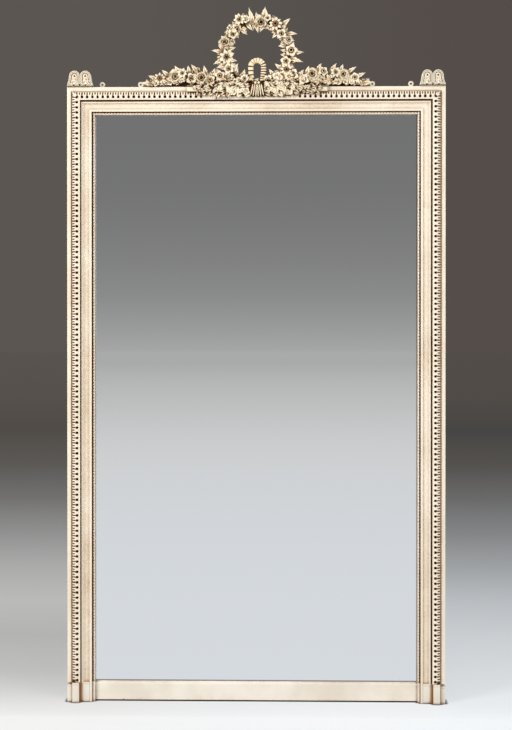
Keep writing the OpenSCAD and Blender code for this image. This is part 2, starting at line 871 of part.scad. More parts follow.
// A leaf of the foot or of a garland, its list entry measured from the crest's middle and the rail
module foot_leaf(l, d, thickness) {
    placed_leaf(crest_x + l[0], z_top + l[1], l[2], l[3], l[4], d, thickness);
}

// Where an entry of the wreath's lists stands: x, z
function wreath_place(e) =
    let (r = wreath_radius + e[1]) [crest_x + r * sin(e[0]), z_wreath + r * cos(e[0])];

// Room that the base board takes up
module base_room() {
    translate([crest_x - base_half - touch, yd(d_plinth), z_top - 4 * base_lip_drop])
    cube([2 * (base_half + touch), d_back, z_base - z_top + 4 * base_lip_drop]);
}

// Points of the ribbon loop's outline: a drop with its point down
function drop_points(width, height) =
    let (r = width / 2, rise = height - r, lean = asin(r / rise))
        concat([[0, 0]], arc(0, rise, r, -lean, 180 + lean, 20));

knot_width = 20;
knot_height = 14;
knot_front = 1;
fan_drop = 34;
fan_width = 44;

// Outline of the pleated fan that hangs from the knot
module fan_outline() {
    polygon([
        [-knot_width / 2, base_thickness], [knot_width / 2, base_thickness],
        [fan_width / 2, -fan_drop], [-fan_width / 2, -fan_drop]
    ]);
}

d_ribbon = d_carving - ribbon_thickness;

// Room that the ribbon takes up, with a joint's width around it
module ribbon_room() {
    translate([crest_x, 0, 0]) {
        slab(-cut, d_carving)
        translate([0, z_base - 2])
        polygon(drop_points(ribbon_width + 2 * carving_joint, ribbon_height + 2 + carving_joint));
        slab(-cut, d_carving)
        translate([-knot_width / 2 - carving_joint, z_top])
        square([knot_width + 2 * carving_joint, base_thickness + knot_height + carving_joint]);
        slab(-cut, d_plinth)
        translate([0, z_top])
        minkowski() {
            fan_outline();
            square(2 * carving_joint, center = true);
        }
    }
}

module ribbon_loop() {
    color(cream)
    translate([crest_x, 0, 0]) {
        slab(d_ribbon, d_carving)
        translate([0, z_base])
        difference() {
            polygon(drop_points(ribbon_width, ribbon_height));
            translate([0, ribbon_band])
            polygon(drop_points(ribbon_width - 2 * ribbon_band, ribbon_height - 2 * ribbon_band));
        }
        slab(knot_front, d_carving)
        translate([-knot_width / 2, z_base])
        square([knot_width, knot_height]);
        slab(knot_front, d_plinth - touch)
        translate([0, z_top])
        fan_outline();
    }
}

// The ring that carries the wreath's flowers, with a flat back and a rounded front
module wreath_ring() {
    rotate([90, 0, 0])
    rotate_extrude($fn = 24)
    translate([wreath_radius, 0])
    polygon([
        [wreath_stem, 0], [wreath_stem, crest_board], [wreath_stem / 2, 1.5 * crest_board],
        [-wreath_stem / 2, 1.5 * crest_board], [-wreath_stem, crest_board], [-wreath_stem, 0]
    ]);
}

// Back board of the crest's foot, its outline given above the rail
module foot_board() {
    slab(d_carving, d_crest)
    translate([crest_x, z_top])
    polygon([
        [-wreath_half, 0], [-wreath_half, 42], [-104, 52], [-84, 46], [-62, 30], [-40, 20],
        [40, 20], [62, 30], [84, 46], [104, 52], [wreath_half, 42], [wreath_half, 0]
    ]);
}

// Thin apron in front of the base board, from which the hanging leaves spring
module apron() {
    slab(d_plinth - touch - 3, d_plinth - touch)
    translate([crest_x, z_top])
    polygon([
        [-112, base_thickness + 6], [112, base_thickness + 6], [108, -8], [78, -22], [22, -14],
        [-22, -14], [-78, -22], [-108, -8]
    ]);
}

// Everything outside the wreath's own stretch of the crest
module beyond_wreath() {
    for (side = [-1, 1])
        translate([side > 0 ? crest_x + wreath_half : crest_x - wreath_half - half, yd(0) - cut, z_top - 60])
        cube([half, d_back, 122]);
}

module wreath() {
    color(cream)
    difference() {
        union() {
            translate([crest_x, yd(d_crest), z_wreath])
            wreath_ring();
            foot_board();
            apron();
            for (f = wreath_flowers) {
                place = wreath_place(f);
                placed_flower(place[0], place[1], f[2], f[3]);
            }
            for (l = wreath_leaves) {
                place = wreath_place(l);
                placed_leaf(place[0], place[1], 90 - l[0] - l[2], l[3], l[4], leaf_back, leaf_thickness);
            }
            for (f = foot_flowers) placed_flower(crest_x + f[0], z_top + f[1], f[2], f[3]);
            for (l = foot_leaves) foot_leaf(l, leaf_back, leaf_thickness);
            for (l = hanging_leaves) foot_leaf(l, d_plinth - touch, hanging_thickness);
        }
        base_room();
        ribbon_room();
        beyond_wreath();
        for (p = wreath_screw_places) screw(p[0], p[1], d_crest + iron_thickness, screw_length, fit);
    }
}

// Back board of a garland, its outline given outwards from the crest's middle and above the rail
module garland_board(side) {
    slab(d_carving, d_crest)
    translate([crest_x, z_top])
    polygon([for (p = [
        [wreath_half - 2, 0], [wreath_half - 2, 40], [180, 44], [240, 38], [300, 16],
        [garland_reach - 16, 5], [garland_reach - 16, 0]
    ]) [side * p[0], p[1]]]);
}

module garland(flowers, leaves, side) {
    difference() {
        union() {
            garland_board(side);
            for (f = flowers) placed_flower(crest_x + f[0], z_top + f[1], f[2], f[3]);
            for (l = leaves) foot_leaf(l, leaf_back, leaf_thickness);
        }
        base_room();
        translate([-half, yd(0) - cut, z_top - 60])
        cube([frame_width, d_back, 60]);
        translate([
            side > 0 ? crest_x - half : crest_x - wreath_half - carving_joint,
            yd(0) - cut,
            z_top - cut
        ])
        cube([half + wreath_half + carving_joint, d_back, wreath_rise]);
    }
}

module garland_left() {
    color(cream)
    garland(left_flowers, left_leaves, -1);
}

module garland_right() {
    color(cream)
    garland(right_flowers, right_leaves, 1);
}

// Cranked iron strap: let into the back of the top rail, over its top and up behind the wreath
module strap(x) {
    section = [
        [d_back, z_top - strap_drop], [d_back, z_top + iron_thickness],
        [d_crest + iron_thickness, z_top + iron_thickness], [d_crest + iron_thickness, z_top + strap_rise],
        [d_crest, z_top + strap_rise], [d_crest, z_top], [d_back - iron_thickness, z_top],
        [d_back - iron_thickness, z_top - strap_drop]
    ];
    color(iron)
    difference() {
        translate([x - strap_width / 2, 0, 0])
        rotate([90, 0, 90])
        linear_extrude(strap_width)
        polygon([for (p = section) [yd(p[0]), p[1]]]);
        for (p = strap_screw_places) screw(p[0], p[1], d_back, screw_length, fit);
        for (p = wreath_screw_places) screw(p[0], p[1], d_crest + iron_thickness, screw_length, fit);
    }
}

module strap_screws() {
    color(iron)
    union() {
        for (p = strap_screw_places) screw(p[0], p[1], d_back, screw_length);
        for (p = wreath_screw_places) screw(p[0], p[1], d_crest + iron_thickness, screw_length - touch);
    }
}

// Hanging eye: a flat plate let into the back of the top rail, with its ring above the rail
module eye(x) {
    color(iron)
    difference() {
        slab(d_back - iron_thickness, d_back)
        translate([x, z_top]) {
            translate([0, eye_rise])
            circle(d = eye_outer);
            translate([-eye_outer / 2, -eye_plate_length])
            square([eye_outer, eye_plate_length]);
            translate([-eye_outer / 3, -1])
            square([eye_outer * 2 / 3, eye_rise - eye_outer / 4]);
        }
        y_cylinder(x, z_top + eye_rise, d_back - iron_thickness - cut, d_back + cut, eye_hole);
        for (p = eye_screw_places) screw(p[0], p[1], d_back, screw_length, fit);
    }
}

module eye_screws() {
    color(iron)
    for (p = eye_screw_places) screw(p[0], p[1], d_back, screw_length);
}

stile_left();
stile_right();
top_rail();
bottom_rail();
joint_pegs();
outer_band_left();
outer_band_right();
outer_band_top();
leaf_moulding_left();
leaf_moulding_right();
leaf_moulding_top();
frieze_left();
frieze_right();
frieze_top();
bead_strip_left();
bead_strip_right();
bead_strip_top();
plinth_left();
plinth_right();
acroterion_left();
acroterion_right();
mirror_plate();
setting_blocks();
glazing_blocks();
backboard(0);  // backboard_1
backboard(1);  // backboard_2
backboard(2);  // backboard_3
backboard(3);  // backboard_4
backboard(4);  // backboard_5
backboard(5);  // backboard_6
backboard(6);  // backboard_7
backboard(7);  // backboard_8
backboard_nails();
crest_base();
crest_dowels();
wreath();
garland_left();
garland_right();
ribbon_loop();
strap(strap_places[0]);  // strap_left
strap(strap_places[1]);  // strap_right
strap_screws();
eye(eye_places[0]);  // eye_outer_left
eye(eye_places[1]);  // eye_outer_right
eye(eye_places[2]);  // eye_inner_left
eye(eye_places[3]);  // eye_inner_right
eye_screws();
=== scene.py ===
"""Overmantel mirror: the carved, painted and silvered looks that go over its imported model.

Shapes are drawn in millimetres and put in place in metres when a piece is handed over.
"""

import logging
import math
import random
from dataclasses import dataclass, field, replace
from enum import Enum
from typing import Callable, Iterable, Sequence

import bmesh
import bpy
from mathutils import Matrix, Vector

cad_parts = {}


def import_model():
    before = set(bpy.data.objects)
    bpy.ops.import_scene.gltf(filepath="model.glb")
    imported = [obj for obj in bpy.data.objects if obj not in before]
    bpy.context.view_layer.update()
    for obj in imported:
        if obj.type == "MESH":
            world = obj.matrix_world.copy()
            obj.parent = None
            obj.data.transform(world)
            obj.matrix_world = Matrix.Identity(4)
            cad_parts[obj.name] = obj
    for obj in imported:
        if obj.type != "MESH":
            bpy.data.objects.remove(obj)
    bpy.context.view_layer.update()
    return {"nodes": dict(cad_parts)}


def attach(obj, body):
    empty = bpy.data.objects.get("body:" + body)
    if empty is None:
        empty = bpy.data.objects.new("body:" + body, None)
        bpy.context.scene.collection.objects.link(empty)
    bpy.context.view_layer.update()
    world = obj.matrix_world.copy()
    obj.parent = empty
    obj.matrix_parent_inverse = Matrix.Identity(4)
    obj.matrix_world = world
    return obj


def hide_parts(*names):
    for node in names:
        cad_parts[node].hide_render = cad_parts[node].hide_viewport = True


LOG = logging.getLogger("overmantel")

MM = 0.001
HALF_WIDTH = 560.0
HALF_DEPTH = 39.0
TOP = 1824.0
STRIP_FOOT = 58.0

Colour = tuple[float, float, float, float]
SectionPoint = tuple[float, float, float]


class Slot(Enum):
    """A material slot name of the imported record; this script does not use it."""

    PAINT = "cream_paint"


class Side(Enum):
    """The three runs of a moulding round the plate."""

    LEFT = "left"
    RIGHT = "right"
    TOP = "top"


def srgb(red: int, green: int, blue: int) -> Colour:
    """Turns a colour of 0 to 255 a channel into linear values.

    Args:
        red: red as shown.
        green: green as shown.
        blue: blue as shown.

    Returns:
        The linear colour with full alpha.
    """

    def linear(value: int) -> float:
        """Linear value of one channel."""
        share = value / 255
        return share / 12.92 if share <= 0.04045 else ((share + 0.055) / 1.055) ** 2.4

    return (linear(red), linear(green), linear(blue), 1.0)


# Nodes and materials


class Signal:
    """A node's output. Plus, minus and times make math nodes."""

    def __init__(self, bench: "Bench", socket: bpy.types.NodeSocket) -> None:
        """Keeps the output and the bench it is on."""
        self.bench = bench
        self.socket = socket

    def __add__(self, other: object) -> "Signal":
        """Sum of both."""
        return self.bench.math("ADD", self, other)

    def __sub__(self, other: object) -> "Signal":
        """This less the other."""
        return self.bench.math("SUBTRACT", self, other)

    def __rsub__(self, other: float) -> "Signal":
        """A number less this."""
        return self.bench.math("SUBTRACT", other, self)

    def __mul__(self, other: object) -> "Signal":
        """Product of both."""
        return self.bench.math("MULTIPLY", self, other)


class Bench:
    """Adds nodes to one node tree and links them."""

    def __init__(self, tree: bpy.types.NodeTree) -> None:
        """Keeps the tree that gets the nodes."""
        self.tree = tree

    def feed(self, node: bpy.types.Node, feeds: dict) -> None:
        """Sets or links inputs.

        Args:
            node: the node that is fed.
            feeds: a value or a signal for each input, by name or place.
        """
        for key, value in feeds.items():
            if isinstance(value, Signal):
                self.tree.links.new(value.socket, node.inputs[key])
            else:
                node.inputs[key].default_value = value

    def put(self, kind: str, feeds: dict | None = None, **settings: object) -> bpy.types.Node:
        """Adds one node.

        Args:
            kind: the node's type, without the word that all shader nodes start with.
            feeds: a value or a signal for each input, by name or place.
            settings: properties of the node.

        Returns:
            The new node.
        """
        node = self.tree.nodes.new(kind if kind.startswith("NodeGroup") else f"ShaderNode{kind}")
        for key, value in settings.items():
            setattr(node, key, value)
        self.feed(node, feeds or {})
        return node

    def take(self, kind: str, feeds: dict | None = None, key: int | str = 0, **settings: object) -> Signal:
        """Adds one node and gives one of its outputs.

        Args:
            kind: the node's type, as in put.
            feeds: its inputs, as in put.
            key: the output, by name or place.
            settings: properties of the node.

        Returns:
            The output.
        """
        return Signal(self, self.put(kind, feeds, **settings).outputs[key])

    def math(self, kind: str, *terms: object, clamp: bool = False) -> Signal:
        """Adds a math node, with its result kept from 0 to 1 on request."""
        return self.take("Math", dict(enumerate(terms)), operation=kind, use_clamp=clamp)

    def blend(self, share: object, first: object, second: object, kind: str = "MIX") -> Signal:
        """Mixes two colours.

        Args:
            share: how much of the second shows.
            first: the first colour.
            second: the second colour.
            kind: the blend's name.

        Returns:
            The mixed colour.
        """
        return self.take("Mix", {0: share, 6: first, 7: second}, 2, data_type="RGBA", blend_type=kind)

    def step(self, value: Signal, low: float, high: float) -> Signal:
        """Smooth step from 0 at low to 1 at high."""
        feeds = {0: value, 1: low, 2: high, 3: 0.0, 4: 1.0}
        return self.take("MapRange", feeds, interpolation_type="SMOOTHSTEP")

    def ramp(self, value: Signal, stops: Sequence[tuple[float, Colour]]) -> Signal:
        """Adds a colour ramp.

        Args:
            value: the value that is read.
            stops: places from 0 to 1 and their colours.

        Returns:
            The colour.
        """
        node = self.put("ValToRGB", {0: value})
        band = node.color_ramp.elements
        while len(band) < len(stops):
            band.new(0.5)
        for element, (place, colour) in zip(band, stops):
            element.position = place
            element.color = colour
        return Signal(self, node.outputs[0])

    def grain(self, vector: Signal, scale: float, detail: float = 4.0) -> Signal:
        """Adds a noise texture and gives its value."""
        return self.take("TexNoise", {"Vector": vector, "Scale": scale, "Detail": detail})

    def place(self) -> Signal:
        """Gives the Object coordinates."""
        return self.take("TexCoord", key="Object")

    def part(self, vector: Signal, axis: str) -> Signal:
        """Gives one part of a vector."""
        return self.take("SeparateXYZ", {0: vector}, axis)

    def scaled(self, vector: Signal, scale: tuple[float, float, float]) -> Signal:
        """Gives coordinates stretched by a mapping."""
        return self.take("Mapping", {"Vector": vector, "Scale": scale})

    def relief(self, height: Signal, distance: float, strength: float) -> Signal:
        """Turns a height into a normal."""
        return self.take("Bump", {"Height": height, "Distance": distance, "Strength": strength})

    def effect(self, tree: bpy.types.NodeTree, vector: Signal, **values: object) -> dict[str, Signal]:
        """Places a shared effect.

        Args:
            tree: the effect's node group.
            vector: the coordinates it reads.
            values: its other inputs.

        Returns:
            Its outputs by name.
        """
        node = self.put("Group", {"Vector": vector, **values}, node_tree=tree)
        return {socket.name: Signal(self, socket) for socket in node.outputs}

    def by_ray(self, plain: Signal, painted_reflection: Signal, shown: Signal) -> Signal:
        """Mixes three shaders by the kind of ray.

        Args:
            plain: what lights the object.
            painted_reflection: what shiny surfaces show, a painted reflection.
            shown: what the camera sees.

        Returns:
            The mixed shader.
        """
        rays = self.put("LightPath")
        for key, shader in (("Is Glossy Ray", painted_reflection), ("Is Camera Ray", shown)):
            plain = self.take("MixShader", {0: Signal(self, rays.outputs[key]), 1: plain, 2: shader})
        return plain


COLOUR = "NodeSocketColor"
VALUE = "NodeSocketFloat"
VECTOR = "NodeSocketVector"
LOOKS = {"Color": COLOUR, "Roughness": VALUE, "Height": VALUE}


def new_group(name: str, inputs: dict[str, str],
              outputs: dict[str, str]) -> tuple[Bench, dict, bpy.types.Node]:
    """Makes an empty node group.

    Args:
        name: the group's name.
        inputs: socket type of each input by name, after the coordinates.
        outputs: socket type of each output by name.

    Returns:
        The group's bench, its inputs by name and its output node.
    """
    tree = bpy.data.node_groups.new(name, "ShaderNodeTree")
    for way, sockets in (("INPUT", {"Vector": VECTOR, **inputs}), ("OUTPUT", outputs)):
        for label, kind in sockets.items():
            tree.interface.new_socket(name=label, in_out=way, socket_type=kind)
    bench = Bench(tree)
    given = {socket.name: Signal(bench, socket) for socket in bench.put("NodeGroupInput").outputs}
    return bench, given, bench.put("NodeGroupOutput")


class Effects:
    """The surface effects that several finishes share, each built once."""

    def __init__(self) -> None:
        """Builds the groups."""
        self.aged_paint = self.make_aged_paint()
        self.timber = self.make_timber()
        self.rust = self.make_rust()

    @staticmethod
    def make_aged_paint() -> bpy.types.NodeTree:
        """Old oil paint with brown glazing and painted shade in its hollows, and edges lightened where worn
        and as painted highlight.

        Returns:
            The node group.
        """
        inputs = dict.fromkeys(("Light", "Body", "Glaze", "Deep"), COLOUR)
        inputs |= dict.fromkeys(("Reach", "Cavity", "Mottle", "Wear"), VALUE)
        bench, given, out = new_group("aged_paint", inputs, LOOKS)
        where, mottle = given["Vector"], given["Mottle"]
        broad = bench.grain(where, 7.0, 6.0)
        fine = bench.grain(where, 110.0, 5.0)
        speck = bench.grain(where, 420.0, 2.0)
        # Hollows found by ambient occlusion take the glazing colours: partly real brown glazing, partly
        # painted shade.
        hidden = bench.take("AmbientOcclusion", {"Distance": given["Reach"]}, "AO", samples=6)
        convex = bench.take("AmbientOcclusion", {"Distance": 0.0022}, "AO", samples=4, inside=True)
        glaze = bench.take("Attribute", key="Fac", attribute_name="glaze")
        cavity_glaze_and_shade = (1.0 - hidden) * given["Cavity"] + glaze
        depth = cavity_glaze_and_shade + (fine - 0.5) * (mottle * 0.45) + (broad - 0.5) * (mottle * 0.6)
        colour = bench.blend(bench.step(broad, 0.36, 0.66) * mottle, given["Light"], given["Body"])
        colour = bench.blend(bench.step(depth, 0.08, 0.6), colour, given["Glaze"])
        colour = bench.blend(bench.step(depth, 0.55, 1.3), colour, given["Deep"])
        # Edges found by occlusion from inside are lightened to the light paint: partly worn paint, partly
        # painted highlight.
        edge = bench.step(1.0 - convex, 0.45, 0.95) * given["Wear"]
        kept = 1.0 - bench.step(glaze, 0.8, 1.4)
        colour = bench.blend(edge * kept, colour, given["Light"])
        colour = bench.blend(bench.step(speck, 0.69, 0.76) * 0.45, colour, given["Glaze"])
        rough = bench.math("ADD", depth * 0.3, 0.4, clamp=True)
        bench.feed(out, {"Color": colour, "Roughness": rough, "Height": fine * 0.7 + speck * 0.3})
        return bench.tree

    @staticmethod
    def make_timber() -> bpy.types.NodeTree:
        """Bare wood with its grain along X of the given coordinates.

        Returns:
            The node group.
        """
        bench, given, out = new_group("timber", {"Pale": COLOUR, "Dark": COLOUR, "Stain": VALUE}, LOOKS)
        where, dark = given["Vector"], given["Dark"]
        bent = bench.take("TexNoise", {"Vector": where, "Scale": 5.0, "Detail": 3.0}, 1)
        moved = bench.take("VectorMath", {0: bent, 1: (0.02, 0.05, 0.05)}, operation="MULTIPLY")
        moved = bench.take("VectorMath", {0: where, 1: moved}, operation="ADD")
        rings = bench.grain(bench.scaled(moved, (1.6, 30.0, 30.0)), 1.6, 5.0)
        pores = bench.grain(bench.scaled(where, (14.0, 420.0, 420.0)), 1.0, 2.0)
        grime = bench.grain(where, 4.0, 6.0)
        waves = {"Vector": where, "Scale": 22.0, "Distortion": 2.5, "Detail": 2.0}
        saw = bench.take("TexWave", waves, "Fac", bands_direction="X")
        colour = bench.blend(bench.step(rings, 0.38, 0.64), given["Pale"], dark)
        colour = bench.blend(bench.step(pores, 0.55, 0.7) * 0.35, colour, dark)
        stained = bench.step(grime, 0.42, 0.7) * given["Stain"]
        colour = bench.blend(stained, colour, srgb(70, 52, 38), "MULTIPLY")
        colour = bench.blend(saw * 0.1, colour, dark)
        bench.feed(out, {
            "Color": colour, "Roughness": rings * 0.25 + 0.62, "Height": rings * 0.6 + saw * 0.3,
        })
        return bench.tree

    @staticmethod
    def make_rust() -> bpy.types.NodeTree:
        """Forged iron with rust in patches.

        Returns:
            The node group.
        """
        inputs = {"Metal": COLOUR, "Rust": COLOUR, "Amount": VALUE}
        bench, given, out = new_group("rust", inputs, {**LOOKS, "Metallic": VALUE})
        where = given["Vector"]
        blotch = bench.grain(where, 60.0, 8.0)
        pits = bench.grain(where, 520.0, 3.0)
        share = bench.step(blotch - 0.5 + given["Amount"] * 0.3, 0.02, 0.2)
        bench.feed(out, {
            "Color": bench.blend(share, given["Metal"], given["Rust"]), "Roughness": share * 0.4 + 0.42,
            "Metallic": 0.85 - share * 0.8, "Height": pits + share * 0.5,
        })
        return bench.tree


def new_material(name: str) -> tuple[bpy.types.Material, Bench]:
    """Starts a material without nodes."""
    material = bpy.data.materials.new(name)
    material.use_nodes = True
    material.node_tree.nodes.clear()
    return material, Bench(material.node_tree)


@dataclass(frozen=True)
class Finish:
    """What every finish has."""

    name: str

    def dress(self, effects: Effects) -> bpy.types.Material:
        """Makes the material.

        Args:
            effects: the shared effects.

        Returns:
            The material.
        """
        material, bench = new_material(self.name)
        shader = bench.put("BsdfPrincipled")
        bench.put("OutputMaterial", {"Surface": Signal(bench, shader.outputs[0])})
        bench.feed(shader, self.look(bench, effects))
        return material

    def look(self, bench: Bench, effects: Effects) -> dict[str, object]:
        """Gives the shader's inputs: values or signals by name."""
        raise NotImplementedError


@dataclass(frozen=True)
class PaintFinish(Finish):
    """Old cream oil paint over gesso, worn off the back of the carcase if that is bare."""

    light: Colour = srgb(252, 240, 219)
    body: Colour = srgb(232, 216, 188)
    glaze: Colour = srgb(160, 108, 56)
    deep: Colour = srgb(62, 31, 11)
    # Reach and the hollows' strength set how far and how strongly hollows take glazing and painted shade; the
    # edges' strength sets how far edges lighten, as worn paint and painted highlight.
    reach: float = 0.009
    cavity_glaze_and_shade: float = 0.75
    mottle: float = 0.45
    edge_wear_and_highlight: float = 0.5
    gloss: float = 0.25
    coat: float = 0.05
    bare_back: bool = False
    bare_from: tuple[float, float] = (0.034, 0.037)
    drip: float = 0.012

    def look(self, bench: Bench, effects: Effects) -> dict[str, object]:
        """Gives the shader's inputs.

        Args:
            bench: the material's bench.
            effects: the shared effects.

        Returns:
            Values or signals by name.
        """
        where = bench.place()
        paint = bench.effect(
            effects.aged_paint, where, Light=self.light, Body=self.body, Glaze=self.glaze, Deep=self.deep,
            Reach=self.reach, Cavity=self.cavity_glaze_and_shade, Mottle=self.mottle, Wear=self.edge_wear_and_highlight,
        )
        colour, rough = paint["Color"], paint["Roughness"]
        if self.bare_back:
            pale, dark = srgb(176, 142, 98), srgb(122, 88, 54)
            wood = bench.effect(effects.timber, where, Pale=pale, Dark=dark, Stain=0.7)
            drips = (bench.grain(where, 35.0) - 0.5) * self.drip
            share = bench.step(bench.part(where, "Y") + drips, *self.bare_from)
            colour = bench.blend(share, colour, wood["Color"])
            rough = bench.math("ADD", rough, share * 0.25, clamp=True)
        return {
            "Base Color": colour, "Roughness": rough, "Normal": bench.relief(paint["Height"], 0.0004, 0.45),
            "Specular IOR Level": self.gloss, "Coat Weight": self.coat, "Coat Roughness": 0.3,
        }


@dataclass(frozen=True)
class TimberFinish(Finish):
    """Bare sawn or riven wood with its grain along X."""

    pale: Colour
    dark: Colour
    stain: float = 0.6

    def look(self, bench: Bench, effects: Effects) -> dict[str, object]:
        """Gives the shader's inputs.

        Args:
            bench: the material's bench.
            effects: the shared effects.

        Returns:
            Values or signals by name.
        """
        wood = bench.effect(effects.timber, bench.place(), Pale=self.pale, Dark=self.dark, Stain=self.stain)
        normal = bench.relief(wood["Height"], 0.0006, 0.5)
        return {
            "Base Color": wood["Color"], "Roughness": wood["Roughness"], "Normal": normal,
            "Specular IOR Level": 0.25,
        }


@dataclass(frozen=True)
class IronFinish(Finish):
    """Forged iron, bare or painted over."""

    metal: Colour
    rust: Colour = srgb(96, 56, 34)
    amount: float = 0.5
    painted: bool = False

    def look(self, bench: Bench, effects: Effects) -> dict[str, object]:
        """Gives the shader's inputs.

        Args:
            bench: the material's bench.
            effects: the shared effects.

        Returns:
            Values or signals by name.
        """
        iron = bench.effect(effects.rust, bench.place(), Metal=self.metal, Rust=self.rust, Amount=self.amount)
        return {
            "Base Color": iron["Color"], "Roughness": iron["Roughness"],
            "Normal": bench.relief(iron["Height"], 0.0003, 0.6),
            "Metallic": 0.0 if self.painted else iron["Metallic"],
        }


@dataclass(frozen=True)
class SilverFinish(Finish):
    """Old silvered plate, a little tired along its edges, with a painted shadow and reflection of the frame
    along its sight edges. Its sight edges are in metres.
    """

    silver: Colour = (0.875, 0.88, 0.885, 1.0)
    # The edge colour on the rim band is painted shadow and reflection of the frame's inner edge; the spots
    # are tired silvering.
    edge: Colour = srgb(112, 110, 104)
    sight_half: float = 0.479
    sight_low: float = 0.058
    sight_high: float = 1.7445
    rim: tuple[float, float] = (-0.0048, -0.0012)
    tired_from: float = -0.03

    def look(self, bench: Bench, effects: Effects) -> dict[str, object]:
        """Gives the shader's inputs.

        Args:
            bench: the material's bench.
            effects: the shared effects.

        Returns:
            Values or signals by name.
        """
        where = bench.place()
        height = bench.part(where, "Z")
        beyond = bench.math("MAXIMUM", self.sight_low - height, height - self.sight_high)
        from_edge = bench.math("MAXIMUM", bench.part(where, "X") - self.sight_half, beyond)
        spots = bench.step(bench.grain(where, 210.0, 3.0), 0.7, 0.78)
        tired = spots * bench.step(from_edge, self.tired_from, 0.0) * 0.5
        # The rim band is painted shadow and reflection of the frame; the spots near it are tired silvering.
        share = bench.math("MAXIMUM", bench.step(from_edge, *self.rim) * 0.9, tired)
        return {"Base Color": bench.blend(share, self.silver, self.edge), "Metallic": 1.0, "Roughness": 0.015}


# Shapes


def points_of(geometry: Iterable[object]) -> list[bmesh.types.BMVert]:
    """The points among some points, edges and faces."""
    return [item for item in geometry if isinstance(item, bmesh.types.BMVert)]


def faces_of(verts: Iterable[bmesh.types.BMVert]) -> list[bmesh.types.BMFace]:
    """All faces that touch some points."""
    return list({face for vert in verts for face in vert.link_faces})


def turned(degrees: float, axis: str) -> Matrix:
    """A turn about an axis."""
    return Matrix.Rotation(math.radians(degrees), 4, axis)


def stretched(x: float, y: float, z: float) -> Matrix:
    """A stretch along the three axes."""
    return Matrix.Diagonal((x, y, z, 1.0))


